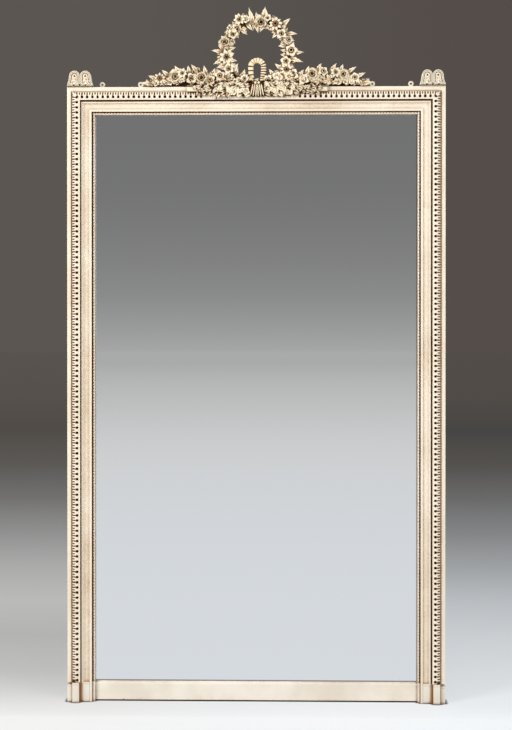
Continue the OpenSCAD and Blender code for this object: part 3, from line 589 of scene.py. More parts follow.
class Workpiece:
    """A piece in the making. Its shapes are in millimetres until it is handed over."""

    def __init__(self, name: str) -> None:
        """Starts an empty piece."""
        self.name = name
        self.bm = bmesh.new()
        self.glaze = self.bm.verts.layers.float.new("glaze")

    def tint(self, verts: Iterable[bmesh.types.BMVert], amount: float) -> None:
        """Marks points as holding brown glazing and painted shade; high values paint hollows near-black."""
        for vert in verts:
            vert[self.glaze] = amount

    def face_out(self, verts: Iterable[bmesh.types.BMVert] | None = None) -> None:
        """Turns the faces at some points, or all faces, outwards."""
        faces = self.bm.faces[:] if verts is None else faces_of(verts)
        bmesh.ops.recalc_face_normals(self.bm, faces=faces)

    def move(self, verts: Sequence[bmesh.types.BMVert], matrix: Matrix) -> None:
        """Moves points by a matrix."""
        bmesh.ops.transform(self.bm, matrix=matrix, verts=verts)

    def pull(self, face: bmesh.types.BMFace, move: Sequence[float] = (0, 0, 0)) -> bmesh.types.BMFace:
        """Extrudes a face, leaving none behind inside.

        Args:
            face: the face.
            move: how far it goes.

        Returns:
            The new face.
        """
        made = bmesh.ops.extrude_face_region(self.bm, geom=[face, *face.edges])["geom"]
        face = next(item for item in made if isinstance(item, bmesh.types.BMFace))
        bmesh.ops.translate(self.bm, vec=move, verts=list(face.verts))
        return face

    def run(self, section: Sequence[SectionPoint], stations: Sequence[float],
            foot: Callable[[float], float] = lambda u: 0.0,
            head: Callable[[float], float] = lambda u: 0.0) -> None:
        """Runs a moulding's section along s.

        Args:
            section: corners as (u, d, glazing and painted shade), in order.
            stations: places along s, from first to last.
            foot: how far the first end moves along s at each u.
            head: how far the last end moves along s at each u.
        """
        first = [self.bm.verts.new((u, d, stations[0])) for u, d, _ in section]
        for vert, point in zip(first, section):
            vert[self.glaze] = point[2]
        face = self.bm.faces.new(first)
        for before, after in zip(stations, stations[1:]):
            face = self.pull(face, (0, 0, after - before))
        for ring, shift in ((first, foot), (face.verts, head)):
            for vert in ring:
                vert.co.z += shift(vert.co.x)
        self.face_out()

    def plate(self, outline: Iterable[tuple[float, float]], back: float, front: float,
              glaze: float = 0.0) -> bmesh.types.BMFace:
        """Adds an upright plate.

        Args:
            outline: its corners as (x, z).
            back: depth of its back.
            front: depth of its front.
            glaze: its glazing and painted shade.

        Returns:
            Its front face.
        """
        ring = [self.bm.verts.new((x, back - HALF_DEPTH, z)) for x, z in outline]
        face = self.pull(self.bm.faces.new(ring), (0, front - back, 0))
        self.tint([*ring, *face.verts], glaze)
        self.face_out([*ring, *face.verts])
        return face

    def block(self, low: Sequence[float], high: Sequence[float], bevel: float = 0.6) -> list:
        """Adds a box with softened edges.

        Args:
            low: its lowest corner.
            high: its highest corner.
            bevel: width of the softened edges.

        Returns:
            The box's points.
        """
        centre = Vector([(l + h) / 2 for l, h in zip(low, high)])
        matrix = Matrix.Translation(centre) @ stretched(*(h - l for l, h in zip(low, high)))
        verts = bmesh.ops.create_cube(self.bm, size=1.0, matrix=matrix)["verts"]
        if bevel:
            edges = list({edge for vert in verts for edge in vert.link_edges})
            made = bmesh.ops.bevel(
                self.bm, geom=edges, offset=bevel, offset_type="OFFSET", segments=2, profile=0.5,
                affect="EDGES", material=-1,
            )
            verts = list({vert for face in made["faces"] for vert in face.verts})
        return verts

    def ball(self, matrix: Matrix, glaze: float = 0.0, segments: tuple[int, int] = (10, 8)) -> list:
        """Adds a ball of radius 1, stretched and placed by a matrix.

        Args:
            matrix: its stretch and place.
            glaze: its glazing and painted shade.
            segments: its segments round and from pole to pole.

        Returns:
            Its points.
        """
        shape = bmesh.ops.create_uvsphere(self.bm, u_segments=segments[0], v_segments=segments[1], radius=1.0)
        self.move(shape["verts"], matrix)
        self.tint(shape["verts"], glaze)
        return shape["verts"]

    def stamp(self, pattern: Sequence, matrices: Iterable[Matrix]) -> None:
        """Repeats a shape and takes the pattern itself away.

        Args:
            pattern: the shape's points, edges and faces.
            matrices: where the shape goes.
        """
        for matrix in matrices:
            self.move(points_of(bmesh.ops.duplicate(self.bm, geom=pattern)["geom"]), matrix)
        bmesh.ops.delete(self.bm, geom=points_of(pattern), context="VERTS")

    def shape_of(self, verts: Sequence[bmesh.types.BMVert]) -> list:
        """All points, edges and faces of a shape, from its points."""
        return [*verts, *{edge for vert in verts for edge in vert.link_edges}, *faces_of(verts)]

    def absorb(self, mesh: bpy.types.Mesh, matrix: Matrix) -> None:
        """Adds a turned and placed copy of a mesh.

        Args:
            mesh: the shape.
            matrix: where it goes.
        """
        copy = mesh.copy()
        copy.transform(matrix)
        self.bm.from_mesh(copy)
        bpy.data.meshes.remove(copy)

    def as_mesh(self) -> bpy.types.Mesh:
        """Ends the piece as a loose mesh, to be absorbed by another or handed over.

        Returns:
            The mesh, in the piece's own units.
        """
        mesh = bpy.data.meshes.new(self.name)
        self.bm.to_mesh(mesh)
        self.bm.free()
        return mesh

    def hand_over(self, material: bpy.types.Material, nodes: Sequence[str], crease: float = 40.0) -> None:
        """Turns the piece into an object that rides on the frame.

        Args:
            material: its finish.
            nodes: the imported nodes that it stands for.
            crease: edges sharper than this, in degrees, stay sharp.
        """
        self.bm.transform(Matrix.Scale(MM, 4))
        mesh = self.as_mesh()
        mesh.shade_smooth()
        mesh.set_sharp_from_angle(angle=math.radians(crease))
        mesh.materials.append(material)
        piece = bpy.data.objects.new(self.name, mesh)
        bpy.context.scene.collection.objects.link(piece)
        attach(piece, "root")
        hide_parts(*nodes)
        LOG.info("%s: %d faces", self.name, len(mesh.polygons))


SIDE_MATRIX = {
    Side.LEFT: Matrix(((1, 0, 0, -HALF_WIDTH), (0, 1, 0, -HALF_DEPTH), (0, 0, 1, 0), (0, 0, 0, 1))),
    Side.RIGHT: Matrix(((-1, 0, 0, HALF_WIDTH), (0, 1, 0, -HALF_DEPTH), (0, 0, 1, 0), (0, 0, 0, 1))),
    Side.TOP: Matrix(((0, 0, 1, 0), (0, 1, 0, -HALF_DEPTH), (-1, 0, 0, TOP), (0, 0, 0, 1))),
}


def set_in_place(piece: Workpiece, side: Side) -> None:
    """Moves a piece from a moulding's own frame (u, d, s) to where it goes.

    Args:
        piece: the piece.
        side: the run that it belongs to.
    """
    piece.bm.transform(SIDE_MATRIX[side])
    if side is Side.RIGHT:
        bmesh.ops.reverse_faces(piece.bm, faces=piece.bm.faces[:])


def even_steps(start: float, end: float, pitch: float) -> list[float]:
    """Places from start to end, evenly spaced at about the pitch."""
    count = round((end - start) / pitch)
    return [start + (end - start) * i / count for i in range(count + 1)]


def arc(centre: tuple[float, float], radius: float, turn: tuple[float, float], count: int,
        glaze: float = 0.0) -> list[SectionPoint]:
    """Points on an arc of a section.

    Args:
        centre: the arc's centre as (u, d).
        radius: the arc's radius.
        turn: first and last angle in degrees.
        count: number of steps.
        glaze: glazing and painted shade at the points.

    Returns:
        The section's points.
    """
    points = []
    for i in range(count + 1):
        angle = math.radians(turn[0] + (turn[1] - turn[0]) * i / count)
        points.append((centre[0] + radius * math.cos(angle), centre[1] + radius * math.sin(angle), glaze))
    return points


@dataclass
class MouldingRun:
    """A moulding that goes up both sides and across the top, mitred at the corners."""

    stem: str
    node: str
    material: bpy.types.Material

    def section(self, side: Side) -> list[SectionPoint]:
        """Corners of the section as (u, d, glazing and painted shade)."""
        raise NotImplementedError

    def stations(self, side: Side) -> list[float]:
        """First and last place along s, at u 0."""
        return [-HALF_WIDTH, HALF_WIDTH] if side is Side.TOP else [STRIP_FOOT, TOP]

    def enrich(self, piece: Workpiece, side: Side) -> None:
        """Carves what the plain run lacks."""

    def build(self) -> None:
        """Builds the three runs."""
        for side in Side:
            piece = Workpiece(f"{self.stem}_{side.value}")
            foot = (lambda u: u) if side is Side.TOP else (lambda u: 0.0)
            piece.run(self.section(side), self.stations(side), foot, lambda u: -u)
            self.enrich(piece, side)
            set_in_place(piece, side)
            piece.hand_over(self.material, [f"{self.node}_{side.value}"])


@dataclass
class OuterBand(MouldingRun):
    """The flat outer band with the quirk beside it."""

    def section(self, side: Side) -> list[SectionPoint]:
        """Corners of the section as (u, d, glazing and painted shade)."""
        line = {Side.LEFT: 0.4, Side.RIGHT: 0.2, Side.TOP: 0.0}[side]
        return [
            (0, 32, 0.1), (0, 22.9, 0), (0.3, 22.2, 0), (1, 22, 0), (6, 22, 0.12), (11, 22, 0.06),
            (11.7, 22.2, 0), (12, 22.9, 0.05), (12, 23.4, line), (12.3, 23.8, line), (15, 23.8, line),
            (15, 32, 0.9),
        ]


@dataclass
class Frieze(MouldingRun):
    """Quirk, torus, plain panel and raised fillet."""

    def section(self, side: Side) -> list[SectionPoint]:
        """Corners of the section as (u, d, glazing and painted shade)."""
        quirk_end = {Side.LEFT: 40.4, Side.RIGHT: 41.8, Side.TOP: 42.3}[side]
        # The quirk's glazing runs dark brown to near-black: partly brown glazing, partly painted shade in the
        # groove. The torus's negative glazing keeps its ridge pale, a painted highlight, most on the left.
        torus = arc((quirk_end + 3.1, 25.0), 3.0, (150, 370), 9, {Side.LEFT: -0.4}.get(side, -0.1))
        quirk = {Side.LEFT: 0.36, Side.RIGHT: 1.4, Side.TOP: 1.8}[side]
        wash = {Side.LEFT: 0.24, Side.RIGHT: 0.17, Side.TOP: 0.17}[side]
        return [
            (39, 32, 1), (39, 24.2, quirk), (39.4, 23.7, quirk), (quirk_end, 23.7, quirk), *torus,
            (48.5, 27.2, 0.02), (49.2, 27.4, 0.04), (51, 27.7, wash), (56, 27.9, wash - 0.04),
            (61, 27.7, wash),
            (64.2, 27.5, 0.2), (65, 27.2, 0.16), (65.3, 25.8, 0.12), (65.9, 24.9, 0), (66.8, 24.6, 0),
            (70.8, 24.6, 0), (72.2, 24.9, 0.1), (73, 25.9, 0.5), (73, 30, 1.0), (73, 50, 1), (66, 50, 0),
            (66, 32, 0),
        ]


@dataclass
class BeadStrip(MouldingRun):
    """Sunk bed beside the glass with a row of pearls."""

    bead_row: float = 78.0
    pitch: float = 9.1
    bed: float = 34.0
    bead: tuple[float, float, float] = (2.7, 3.1, 4.5)

    def section(self, side: Side) -> list[SectionPoint]:
        """Corners of the section as (u, d, glazing and painted shade)."""
        # The channel by the fillet is glazed near-black: partly brown glazing, partly painted shade under the
        # fillet's step.
        return [
            (73, 50, 1), (73, 34.6, 1.3), (73.6, 34, 1.3), (74.8, 34, 1.1), (75.8, 34, 0.3), (80.2, 34, 0.0),
            (80.7, 34.1, 0.0), (81, 34.6, 0.0), (81, 42, 0.2), (81, 50, 0.6),
        ]

    def enrich(self, piece: Workpiece, side: Side) -> None:
        """Lays the pearls.

        Args:
            piece: the run.
            side: which run.
        """
        if side is Side.TOP:
            places = even_steps(self.bead_row - HALF_WIDTH, HALF_WIDTH - self.bead_row, self.pitch)
        else:
            places = even_steps(STRIP_FOOT, TOP - self.bead_row, self.pitch)[1:]
        # Pearls get negative glazing so their fronts stay pale, a painted highlight, and darker glazing on
        # their back halves as painted shade.
        shape = piece.ball(stretched(*self.bead), -0.2, (8, 6))
        piece.tint([vert for vert in shape if vert.co.y > 0.4], 0.6)
        spots = [Matrix.Translation((self.bead_row, self.bed, s)) for s in places]
        piece.stamp(piece.shape_of(shape), spots)


@dataclass
class LeafCourse(MouldingRun):
    """Course of upright leaves with a drilled hole between each two, and darts fanned at the corners."""

    pitch: float = 15.3
    hole_u: float = 30.2
    hole_half: float = 3.8
    hole_depth: float = 7.0
    hole_area: float = 75.0
    crest_from: float = -160.0
    crest_to: float = 120.0
    crown_u: float = 25.2
    leaf_edge: float = 1.4

    def crown(self, u: float) -> float:
        """Depth of the leaves' crown at u.

        Args:
            u: distance from the frame's outer edge.

        Returns:
            The depth.
        """
        if u > self.crown_u:
            return 12.0 + 3.6 * ((u - self.crown_u) / 10.9) ** 2
        share = (u - self.crown_u) / 10.2
        return 12.0 + 9.0 * (1 - math.sqrt(1 - share * share))

    def section(self, side: Side) -> list[SectionPoint]:
        """Corners of the section as (u, d, glazing and painted shade)."""
        # The bed at the leaves' roots and the riser by the fillet are glazed dark: partly brown glazing,
        # partly painted shade in the hollows.
        bed = (
            (16.0, 1.9, 1.0), (18.0, 2.3, 1.1), (22.0, 2.2, 1.1), (25.0, 1.4, 0.7),
            (self.hole_u - self.hole_half, 0.8, 0.15), (self.hole_u + self.hole_half, 0.7, 0.15),
            (35.4, 0.3, 0.05),
        )
        points = [(15, 32, 1), (15, 23.6, 1)]
        points += [(u, self.crown(u) + drop, glaze) for u, drop, glaze in bed]
        lip = {Side.LEFT: 38.7, Side.RIGHT: 38.4, Side.TOP: 37.9}[side]
        return points + [(36.1, 15.4, 0), (lip, 15.4, 0), (38.95, 16.0, 0.7), (39, 17.0, 1.0), (39, 32, 1)]

    def gaps(self, side: Side) -> list[float]:
        """Places of the drilled holes along s."""
        if side is Side.TOP:
            return even_steps(-HALF_WIDTH + self.hole_u, HALF_WIDTH - self.hole_u, self.pitch)
        return even_steps(STRIP_FOOT + self.pitch / 2, TOP - self.hole_u, self.pitch)

    def stations(self, side: Side) -> list[float]:
        """First and last place along s at u 0, and both edges of each hole."""
        ends = super().stations(side)
        inner = self.gaps(side)[1:-1] if side is Side.TOP else self.gaps(side)[:-1]
        middle = [s + shift for s in inner for shift in (-self.hole_half, self.hole_half)]
        return [ends[0], *middle, ends[1]]

    def covered(self, side: Side, s: float) -> bool:
        """True where the crest hides the course."""
        return side is Side.TOP and self.crest_from < s < self.crest_to

    def raised(self, piece: Workpiece, rows: Sequence[tuple], columns: Sequence[tuple]) -> list:
        """Carves one raised form along u, with its middle at s 0.

        Args:
            piece: the piece that gets the form.
            rows: u, half width, drop, glazing and painted shade, and share of the side's drop, from root to
                tip.
            columns: share of the half width, drop, and glazing and painted shade, from side to side.

        Returns:
            The form's points, edges and faces.
        """
        across, along = len(columns) - 1, len(rows) - 1
        grid = bmesh.ops.create_grid(piece.bm, x_segments=across, y_segments=along, size=1.0)["verts"]
        for vert in grid:
            share, side_drop, side_glaze_and_shade = columns[round((vert.co.x + 1) * across / 2)]
            u, half, drop, glaze, relief_share = rows[round((vert.co.y + 1) * along / 2)]
            vert.co = Vector((u, self.crown(u) + drop + side_drop * relief_share, share * half))
            vert[piece.glaze] = max(glaze, side_glaze_and_shade * relief_share)
        rim = list({e for v in grid for e in v.link_edges if len(e.link_faces) == 1})
        made = bmesh.ops.extrude_edge_only(piece.bm, edges=rim)["geom"]
        low = points_of(made)
        for vert in low:
            vert.co.y += self.leaf_edge
        # The sunk edges of each leaf and dart are glazed dark: partly brown glazing, partly painted shade
        # along their outlines.
        piece.tint(low, 0.8)
        edges = [g for g in made if isinstance(g, bmesh.types.BMEdge)]
        bmesh.ops.edgeloop_fill(piece.bm, edges=[e for e in edges if e.verts[0] in low and e.verts[1] in low])
        piece.face_out([*grid, *low])
        return piece.shape_of([*grid, *low])

    def tongue(self, piece: Workpiece) -> list:
        """Carves one broad leaf, cleft at its root, whose tip flares into the fillet.

        Args:
            piece: the run.

        Returns:
            The leaf's points, edges and faces.
        """
        rows = (
            (15.4, 6.0, 0.9, 0.2, 1.0), (16.6, 6.3, 0.1, 0.0, 1.0), (19.0, 6.4, 0.0, 0.0, 1.0),
            (21.2, 6.3, 0.0, 0.0, 1.0), (23.0, 6.1, 0.0, 0.0, 0.8), (24.4, 5.7, 0.0, 0.0, 0.08),
            (26.0, 5.0, 0.0, 0.0, 0.05), (28.4, 4.0, 0.0, 0.0, 0.05), (31.0, 3.8, 0.0, 0.0, 0.05),
            (33.4, 4.8, 0.1, 0.0, 0.05), (34.8, 6.4, 0.1, 0.0, 0.05), (36.3, 7.4, 0.05, 0.0, 0.0),
        )
        half = ((-1.0, 1.4, 0.6), (-0.84, 0.2, 0.0), (-0.32, 0.0, 0.0), (-0.15, 1.7, 1.4))
        return self.raised(piece, rows, [*half, *((-share, *rest) for share, *rest in reversed(half))])

    def dart(self, piece: Workpiece) -> list:
        """Carves one narrow form that ends above the corner's hole.

        Args:
            piece: the run.

        Returns:
            The dart's points, edges and faces.
        """
        rows = (
            (15.9, 2.0, 1.4, 0.85, 1.0), (17.2, 2.4, 0.5, 0.25, 1.0), (20.0, 2.5, 0.4, 0.05, 1.0),
            (22.5, 2.4, 0.4, 0.0, 0.8), (25.2, 2.0, 0.5, 0.0, 0.5), (27.9, 1.6, 0.7, 0.1, 0.3),
        )
        columns = ((-1.0, 1.6, 0.7), (-0.7, 0.2, 0.05), (0.0, 0.0, 0.0), (0.7, 0.2, 0.05), (1.0, 1.6, 0.7))
        return self.raised(piece, rows, columns)

    def drill(self, piece: Workpiece, side: Side) -> None:
        """Drills the holes into the bed, their rims and floors glazed near-black as painted shade.

        Args:
            piece: the piece with the bed.
            side: which run.
        """
        places = [s for s in self.gaps(side) if not self.covered(side, s)]
        found = []
        for face in piece.bm.faces:
            middle = face.calc_center_median()
            near = abs(middle.x - self.hole_u) < 0.6 and middle.y < 20 and len(face.verts) == 4
            if near and any(abs(middle.z - s) < 0.5 for s in places) and face.calc_area() < self.hole_area:
                found.append(face)
        bmesh.ops.inset_individual(piece.bm, faces=found, thickness=0.3, use_even_offset=True)
        edges = list({edge for face in found for edge in face.edges})
        bmesh.ops.bisect_edges(piece.bm, edges=edges, cuts=1)
        for face in found:
            middle = face.calc_center_median()
            for vert in face.verts:
                vert.co = middle + (vert.co - middle).normalized() * self.hole_half * 0.97
            # Rims and floors of the holes are painted near-black: painted shade in the holes.
            piece.tint(face.verts, 1.3)
        for face in bmesh.ops.extrude_discrete_faces(piece.bm, faces=found)["faces"]:
            for vert in face.verts:
                vert.co.y += self.hole_depth
            piece.tint(face.verts, 2.0)

    def fan(self, angle: float, reach: float, width: float) -> Matrix:
        """Turns a dart about the corner's hole.

        Args:
            angle: its turn in degrees.
            reach: how far it is stretched along itself.
            width: how far it is stretched across.

        Returns:
            The matrix.
        """
        place = Matrix.Translation((self.hole_u, -0.4, TOP - self.hole_u))
        size = stretched(reach, 1.0, width)
        return place @ turned(angle, "Y") @ size @ Matrix.Translation((-self.hole_u, 0, 0))

    def corner(self, piece: Workpiece) -> None:
        """Sets a flat ball glazed near-black on the mitre as a painted shadowed slot, and fans three darts
        about it.

        Args:
            piece: the run.
        """
        spot = Matrix.Translation((self.hole_u, self.crown(self.hole_u) - 0.5, TOP - self.hole_u))
        # The slot is a ball painted near-black: painted shade, not a cut.
        piece.ball(spot @ turned(-45, "Y") @ stretched(5.6, 1.4, 3.0), 2.0, (12, 8))
        darts = ((21, 1.06, 1.0), (45, 1.38, 1.25), (69, 1.06, 1.0))
        piece.stamp(self.dart(piece), [self.fan(*dart) for dart in darts])

    def enrich(self, piece: Workpiece, side: Side) -> None:
        """Carves the leaves and drills the holes.

        Args:
            piece: the run.
            side: which run.
        """
        self.drill(piece, side)
        chance = random.Random(f"{self.stem}_{side.value}")
        gaps = self.gaps(side)
        leaves = [
            Matrix.Translation((0, chance.uniform(-0.1, 0.25), (a + b) / 2 + chance.uniform(-0.35, 0.35)))
            @ stretched(1, 1, chance.uniform(0.93, 1.05))
            for a, b in zip(gaps, gaps[1:])
        ]
        piece.stamp(self.tongue(piece), leaves)
        if side is not Side.TOP:
            self.corner(piece)


@dataclass
class Plinths:
    """Stepped blocks at the foot of both stiles."""

    material: bpy.types.Material
    lip: float = 5.0
    proud: float = 1.2
    faces: tuple = (
        (0, 13.8, 51, 18.8, 32), (15.7, 35.7, 57.6, 8, 32), (39.6, 65.5, 58, 22.5, 32),
        (72.2, 81, 58, 30, 42.5),
    )
    # The grounds fill the grooves between the faces; their glazing is partly brown glazing and partly painted
    # shade, and the fillet's negative glazing keeps it pale as a painted highlight.
    grounds: tuple = (
        ((65.8, 24.4, 0), (72.4, 50, 58), 0.5, -0.3), ((0.5, 24, 0), (20, 31.6, 50), 0, 0.8),
        ((35.0, 18.5, 0), (41.5, 31.6, 57), 0, 0.45), ((65.0, 27, 0), (74, 42.3, 56.5), 0, 0.5),
    )

    def build(self) -> None:
        """Builds both plinths, with a lip on each stepped face."""
        for side in (Side.LEFT, Side.RIGHT):
            piece = Workpiece(f"plinth_block_{side.value}")
            for first, last, height, front, back in self.faces:
                piece.block((first, front + self.proud, 0), (last, back, height - self.lip / 2), 0.7)
                piece.block((first, front, height - self.lip), (last, back, height), 0.9)
            for low, high, bevel, glaze in self.grounds:
                piece.tint(piece.block(low, high, bevel), glaze)
            set_in_place(piece, side)
            piece.hand_over(self.material, [f"plinth_{side.value}"])


@dataclass
class FootRail:
    """Bottom rail with its bevelled top edge and the tenons that go into the stiles."""

    material: bpy.types.Material
    half_length: float = 494.0
    tenon_end: float = 539.0
    notch: float = 395.0

    def build(self) -> None:
        """Builds the rail, with one small chip in its lower edge."""
        piece = Workpiece("foot_rail")
        # The bottom chamfer is glazed near-black, a painted shadow line under the rail; the arrises' negative
        # glazing keeps them pale as painted highlights.
        section = [
            (42.5, 2.9, -0.2), (42.5, 6.0, 0.04), (42.5, 30, 0.0), (42.5, 49.0, 0.04), (42.6, 50.6, -0.2),
            (43.4, 52.2, -0.2), (44.3, 53.0, 0.15), (47.9, 56.4, 0.12), (49.4, 57.8, 0.2), (49.9, 58, 0.8),
            (50, 40, 0.4), (56, 40, 0), (68, 40, 0), (68, 28, 0), (78, 28, 0), (78, 0, 0), (44.4, 0, 2.0),
            (43.2, 2.3, 1.4),
        ]
        chip = [-self.notch + shift for shift in (-1.5, 0, 1.5)]
        piece.run(section, [-self.half_length, *chip, 0, self.half_length])
        piece.bm.transform(Matrix(((0, 0, 1, 0), (1, 0, 0, -HALF_DEPTH), (0, 1, 0, 0), (0, 0, 0, 1))))
        # The chip is raised and glazed dark: painted shade in the chip.
        for vert in piece.bm.verts:
            if abs(vert.co.x + self.notch) < 0.1 and vert.co.z < 3 and vert.co.y < 6:
                vert.co.z += 2.2
                vert[piece.glaze] = 1.2
        for end in (-1, 1):
            low, high = sorted((end * self.half_length, end * self.tenon_end))
            piece.block((low, 10.5, 8), (high, 24.5, 32), 0.5)
        piece.hand_over(self.material, ["bottom_rail"])


@dataclass
class CornerEars:
    """Two arched lobes with carved husks above each corner, their sides flaring towards the foot.

    The cuts hold the width, depth and glazing of each step of the rims; the glazing in the rims' grooves is
    partly painted shade. The chain of husks holds height, half width, half height and shift, the side husks
    height, distance and lean, and the marks a place.
    """

    material: bpy.types.Material
    middle: float = -522.0
    reach: float = 16.0
    radius: float = 15.5
    foot: float = 1828.6
    top: float = 1872.5
    front: float = 20.0
    back: float = 50.0
    cuts: tuple = (
        (0.7, -0.7, 0.0), (1.6, 0.0, 0.0), (0.4, 1.6, 0.9), (0.7, 0.0, 1.0), (0.4, -1.4, 0.0),
        (1.0, -0.3, 0.0), (1.0, 0.3, 0.0), (0.5, 1.8, 0.85), (0.8, 0.3, 0.6), (1.8, -0.4, 0.15),
    )
    chain: tuple = ((1850.5, 2.8, 4.0, 0), (1843.5, 3.6, 4.6, 0.5), (1835.5, 4.2, 4.6, 1.0))
    side_husks: tuple = ((1848.0, 5.6, 14), (1840.0, 7.0, 22), (1833.5, 8.2, 30))
    marks: tuple = ((2.0, 1846.5), (-3.0, 1838.5))

    def outline(self, hand: int) -> list[tuple[float, float]]:
        """Corners of one lobe, from the cleft's foot over the top to its outer foot.

        Args:
            hand: -1 for the left lobe, 1 for the right one.

        Returns:
            The corners as (x, z).
        """
        spring = self.top - self.radius
        points = [(0.4, self.foot), (0.5, spring)]
        for i in range(1, 13):
            angle = math.pi * (1 - i / 12 * 0.95)
            x, z = self.radius * math.cos(angle), self.radius * math.sin(angle)
            points.append((self.reach + x, spring + z))
        points += [(33.2, spring - 12), (38.0, self.foot)]
        return [(self.middle + hand * x, z) for x, z in points]

    def lobe(self, piece: Workpiece, hand: int) -> None:
        """Carves one lobe with its two rims.

        Args:
            piece: the pair of lobes.
            hand: -1 for the left lobe, 1 for the right one.
        """
        face = piece.plate(self.outline(hand), self.back, self.front + 0.7)
        for thickness, sink, glaze in self.cuts:
            bmesh.ops.inset_individual(piece.bm, faces=[face], thickness=thickness, use_even_offset=True)
            bmesh.ops.translate(piece.bm, vec=(0, sink, 0), verts=list(face.verts))
            piece.tint(face.verts, glaze)

    def husks(self, piece: Workpiece, hand: int) -> None:
        """Hangs a chain of husks in a lobe's field, with a dot above it glazed near-black as a painted
        shadowed hole.

        Args:
            piece: the pair of lobes.
            hand: -1 for the left lobe, 1 for the right one.
        """
        field_y = self.front - HALF_DEPTH + 2.6
        centre = self.middle + hand * self.reach
        forms = [
            ((hand * shift, 0, z), (width, 2.8, height), 0, 0.0) for z, width, height, shift in self.chain
        ]
        forms += [
            ((hand * 0.8 + side * away, 0.3, z), (1.5, 2.2, 5.2), side * lean, 0.0)
            for side in (-1, 1) for z, away, lean in self.side_husks
        ]
        # The dot and the two marks are glazed dark: painted shade standing for drilled holes.
        forms += [((0, -1.2, 1857.0), (2.4, 1.0, 2.4), 0, 2.0)]
        forms += [((x, -2.4, z), (1.3, 0.9, 1.1), 0, 1.1) for x, z in self.marks]
        for (x, y, z), size, lean, glaze in forms:
            place = Matrix.Translation((centre + x, field_y + y, z))
            piece.ball(place @ turned(lean, "Y") @ stretched(*size), glaze)

    def wedge(self, piece: Workpiece, x: float, z: float, size: float, depth: float) -> None:
        """Adds a three-cornered block at a lobe's foot, glazed near-black as a painted shadowed notch.

        Args:
            piece: the pair of lobes.
            x: its middle across.
            z: its middle up.
            size: its radius.
            depth: depth of its face.
        """
        matrix = Matrix.Translation((x, depth + 1.0 - HALF_DEPTH, z)) @ turned(90, "X") @ turned(90, "Z")
        shape = bmesh.ops.create_cone(
            piece.bm, cap_ends=True, segments=3, radius1=size, radius2=size, depth=2.0, matrix=matrix,
        )["verts"]
        piece.tint(shape, 2.0)

    def build(self) -> None:
        """Builds both corners, each on its foot."""
        front, back = self.front - HALF_DEPTH, self.back - HALF_DEPTH
        for side in (Side.LEFT, Side.RIGHT):
            piece = Workpiece(f"corner_ear_{side.value}")
            for hand in (-1, 1):
                self.lobe(piece, hand)
            piece.face_out()
            for hand in (-1, 1):
                self.husks(piece, hand)
                self.wedge(piece, self.middle + hand * 17.5, 1830.0, 3.2, 19.9)
            self.wedge(piece, self.middle, 1831.0, 3.8, 19.8)
            # A block set back under the lobes, glazed near-black: a painted shadow line between the lobes and
            # the rail.
            low = piece.block((-HALF_WIDTH + 2.0, front + 4.5, 1824.2), (-486.0, back, self.foot), 0.3)
            piece.tint(low, 2.0)
            piece.block((-HALF_WIDTH, front - 1, 1824), (-484, back - 0.2, 1824.8), 0.2)
            if side is Side.RIGHT:
                piece.bm.transform(Matrix.Scale(-1, 4, (1, 0, 0)))
                bmesh.ops.reverse_faces(piece.bm, faces=piece.bm.faces[:])
            piece.hand_over(self.material, [f"acroterion_{side.value}"])


# The carved crest


@dataclass(frozen=True)
class Blade:
    """A petal or leaf along Y, with its root at 0 and its face to Z."""

    length: float
    half_width: float
    root: float = 0.4
    peak: float = 0.6
    tip: float = 0.25
    sharp: float = 0.5
    cup: float = 0.0
    curl: float = 0.0
    rise: float = 0.0
    rib: float = 0.0
    teeth: float = 0.0
    thick: float = 1.8
    columns: int = 4
    rows: int = 5
    glaze: float = 0.9
    wash: float = 0.0
    vein: float = 0.0

    def sized(self, radius: float) -> "Blade":
        """The blade with its lengths, given as shares, times a radius."""
        lengths = ("length", "half_width", "cup", "curl", "rise", "thick")
        return replace(self, **{key: getattr(self, key) * radius for key in lengths})

    def width_at(self, along: float) -> float:
        """Half the width at a share of the length."""
        if along < self.peak:
            share = self.root + (1 - self.root) * math.sin(math.pi / 2 * along / self.peak)
        else:
            past = (along - self.peak) / (1 - self.peak)
            share = max(self.tip, (1 - past * past) ** self.sharp)
        return self.half_width * share

    def mesh(self) -> bpy.types.Mesh:
        """Cuts the blade.

        Returns:
            A closed mesh in millimetres.
        """
        piece = Workpiece("blade")
        bmesh.ops.create_grid(piece.bm, x_segments=self.columns, y_segments=self.rows, size=1.0)
        for vert in piece.bm.verts:
            across = vert.co.x
            along = (vert.co.y + 1) / 2
            row = round(along * self.rows)
            notch = 1 - self.teeth * (row % 2) * (abs(across) > 0.9)
            x = across * self.width_at(along) * notch
            y = self.length * (along - 0.10 * across * across * (1 - self.tip))
            z = self.rise * math.sin(math.pi * along)
            z += self.cup * across * across * math.sin(math.pi * min(1.0, along * 1.1))
            z -= self.curl * along ** 3
            if 0.1 < abs(across) < 0.9:
                z += self.rib * 0.5
            vert.co = Vector((x, y, z))
            middle = self.vein * (1 - along) if abs(across) < 0.1 else 0.0
            # Roots and the middle vein are glazed dark: partly brown glazing, partly painted shade where
            # blades overlap and along the sunk vein.
            vert[piece.glaze] = max(self.wash * (1 - 0.6 * along), middle, self.glaze * (1 - along * 2.1))
        bmesh.ops.solidify(piece.bm, geom=piece.bm.faces[:], thickness=self.thick)
        bmesh.ops.recalc_face_normals(piece.bm, faces=piece.bm.faces[:])
        return piece.as_mesh()


class Bloom(Enum):
    """Kinds of flower in the crest."""

    ROSE = "rose"
    DAISY = "daisy"
    RING = "ring"
    STAR = "star"
    OPEN = "open"
    BUD = "bud"
    BERRIES = "berries"


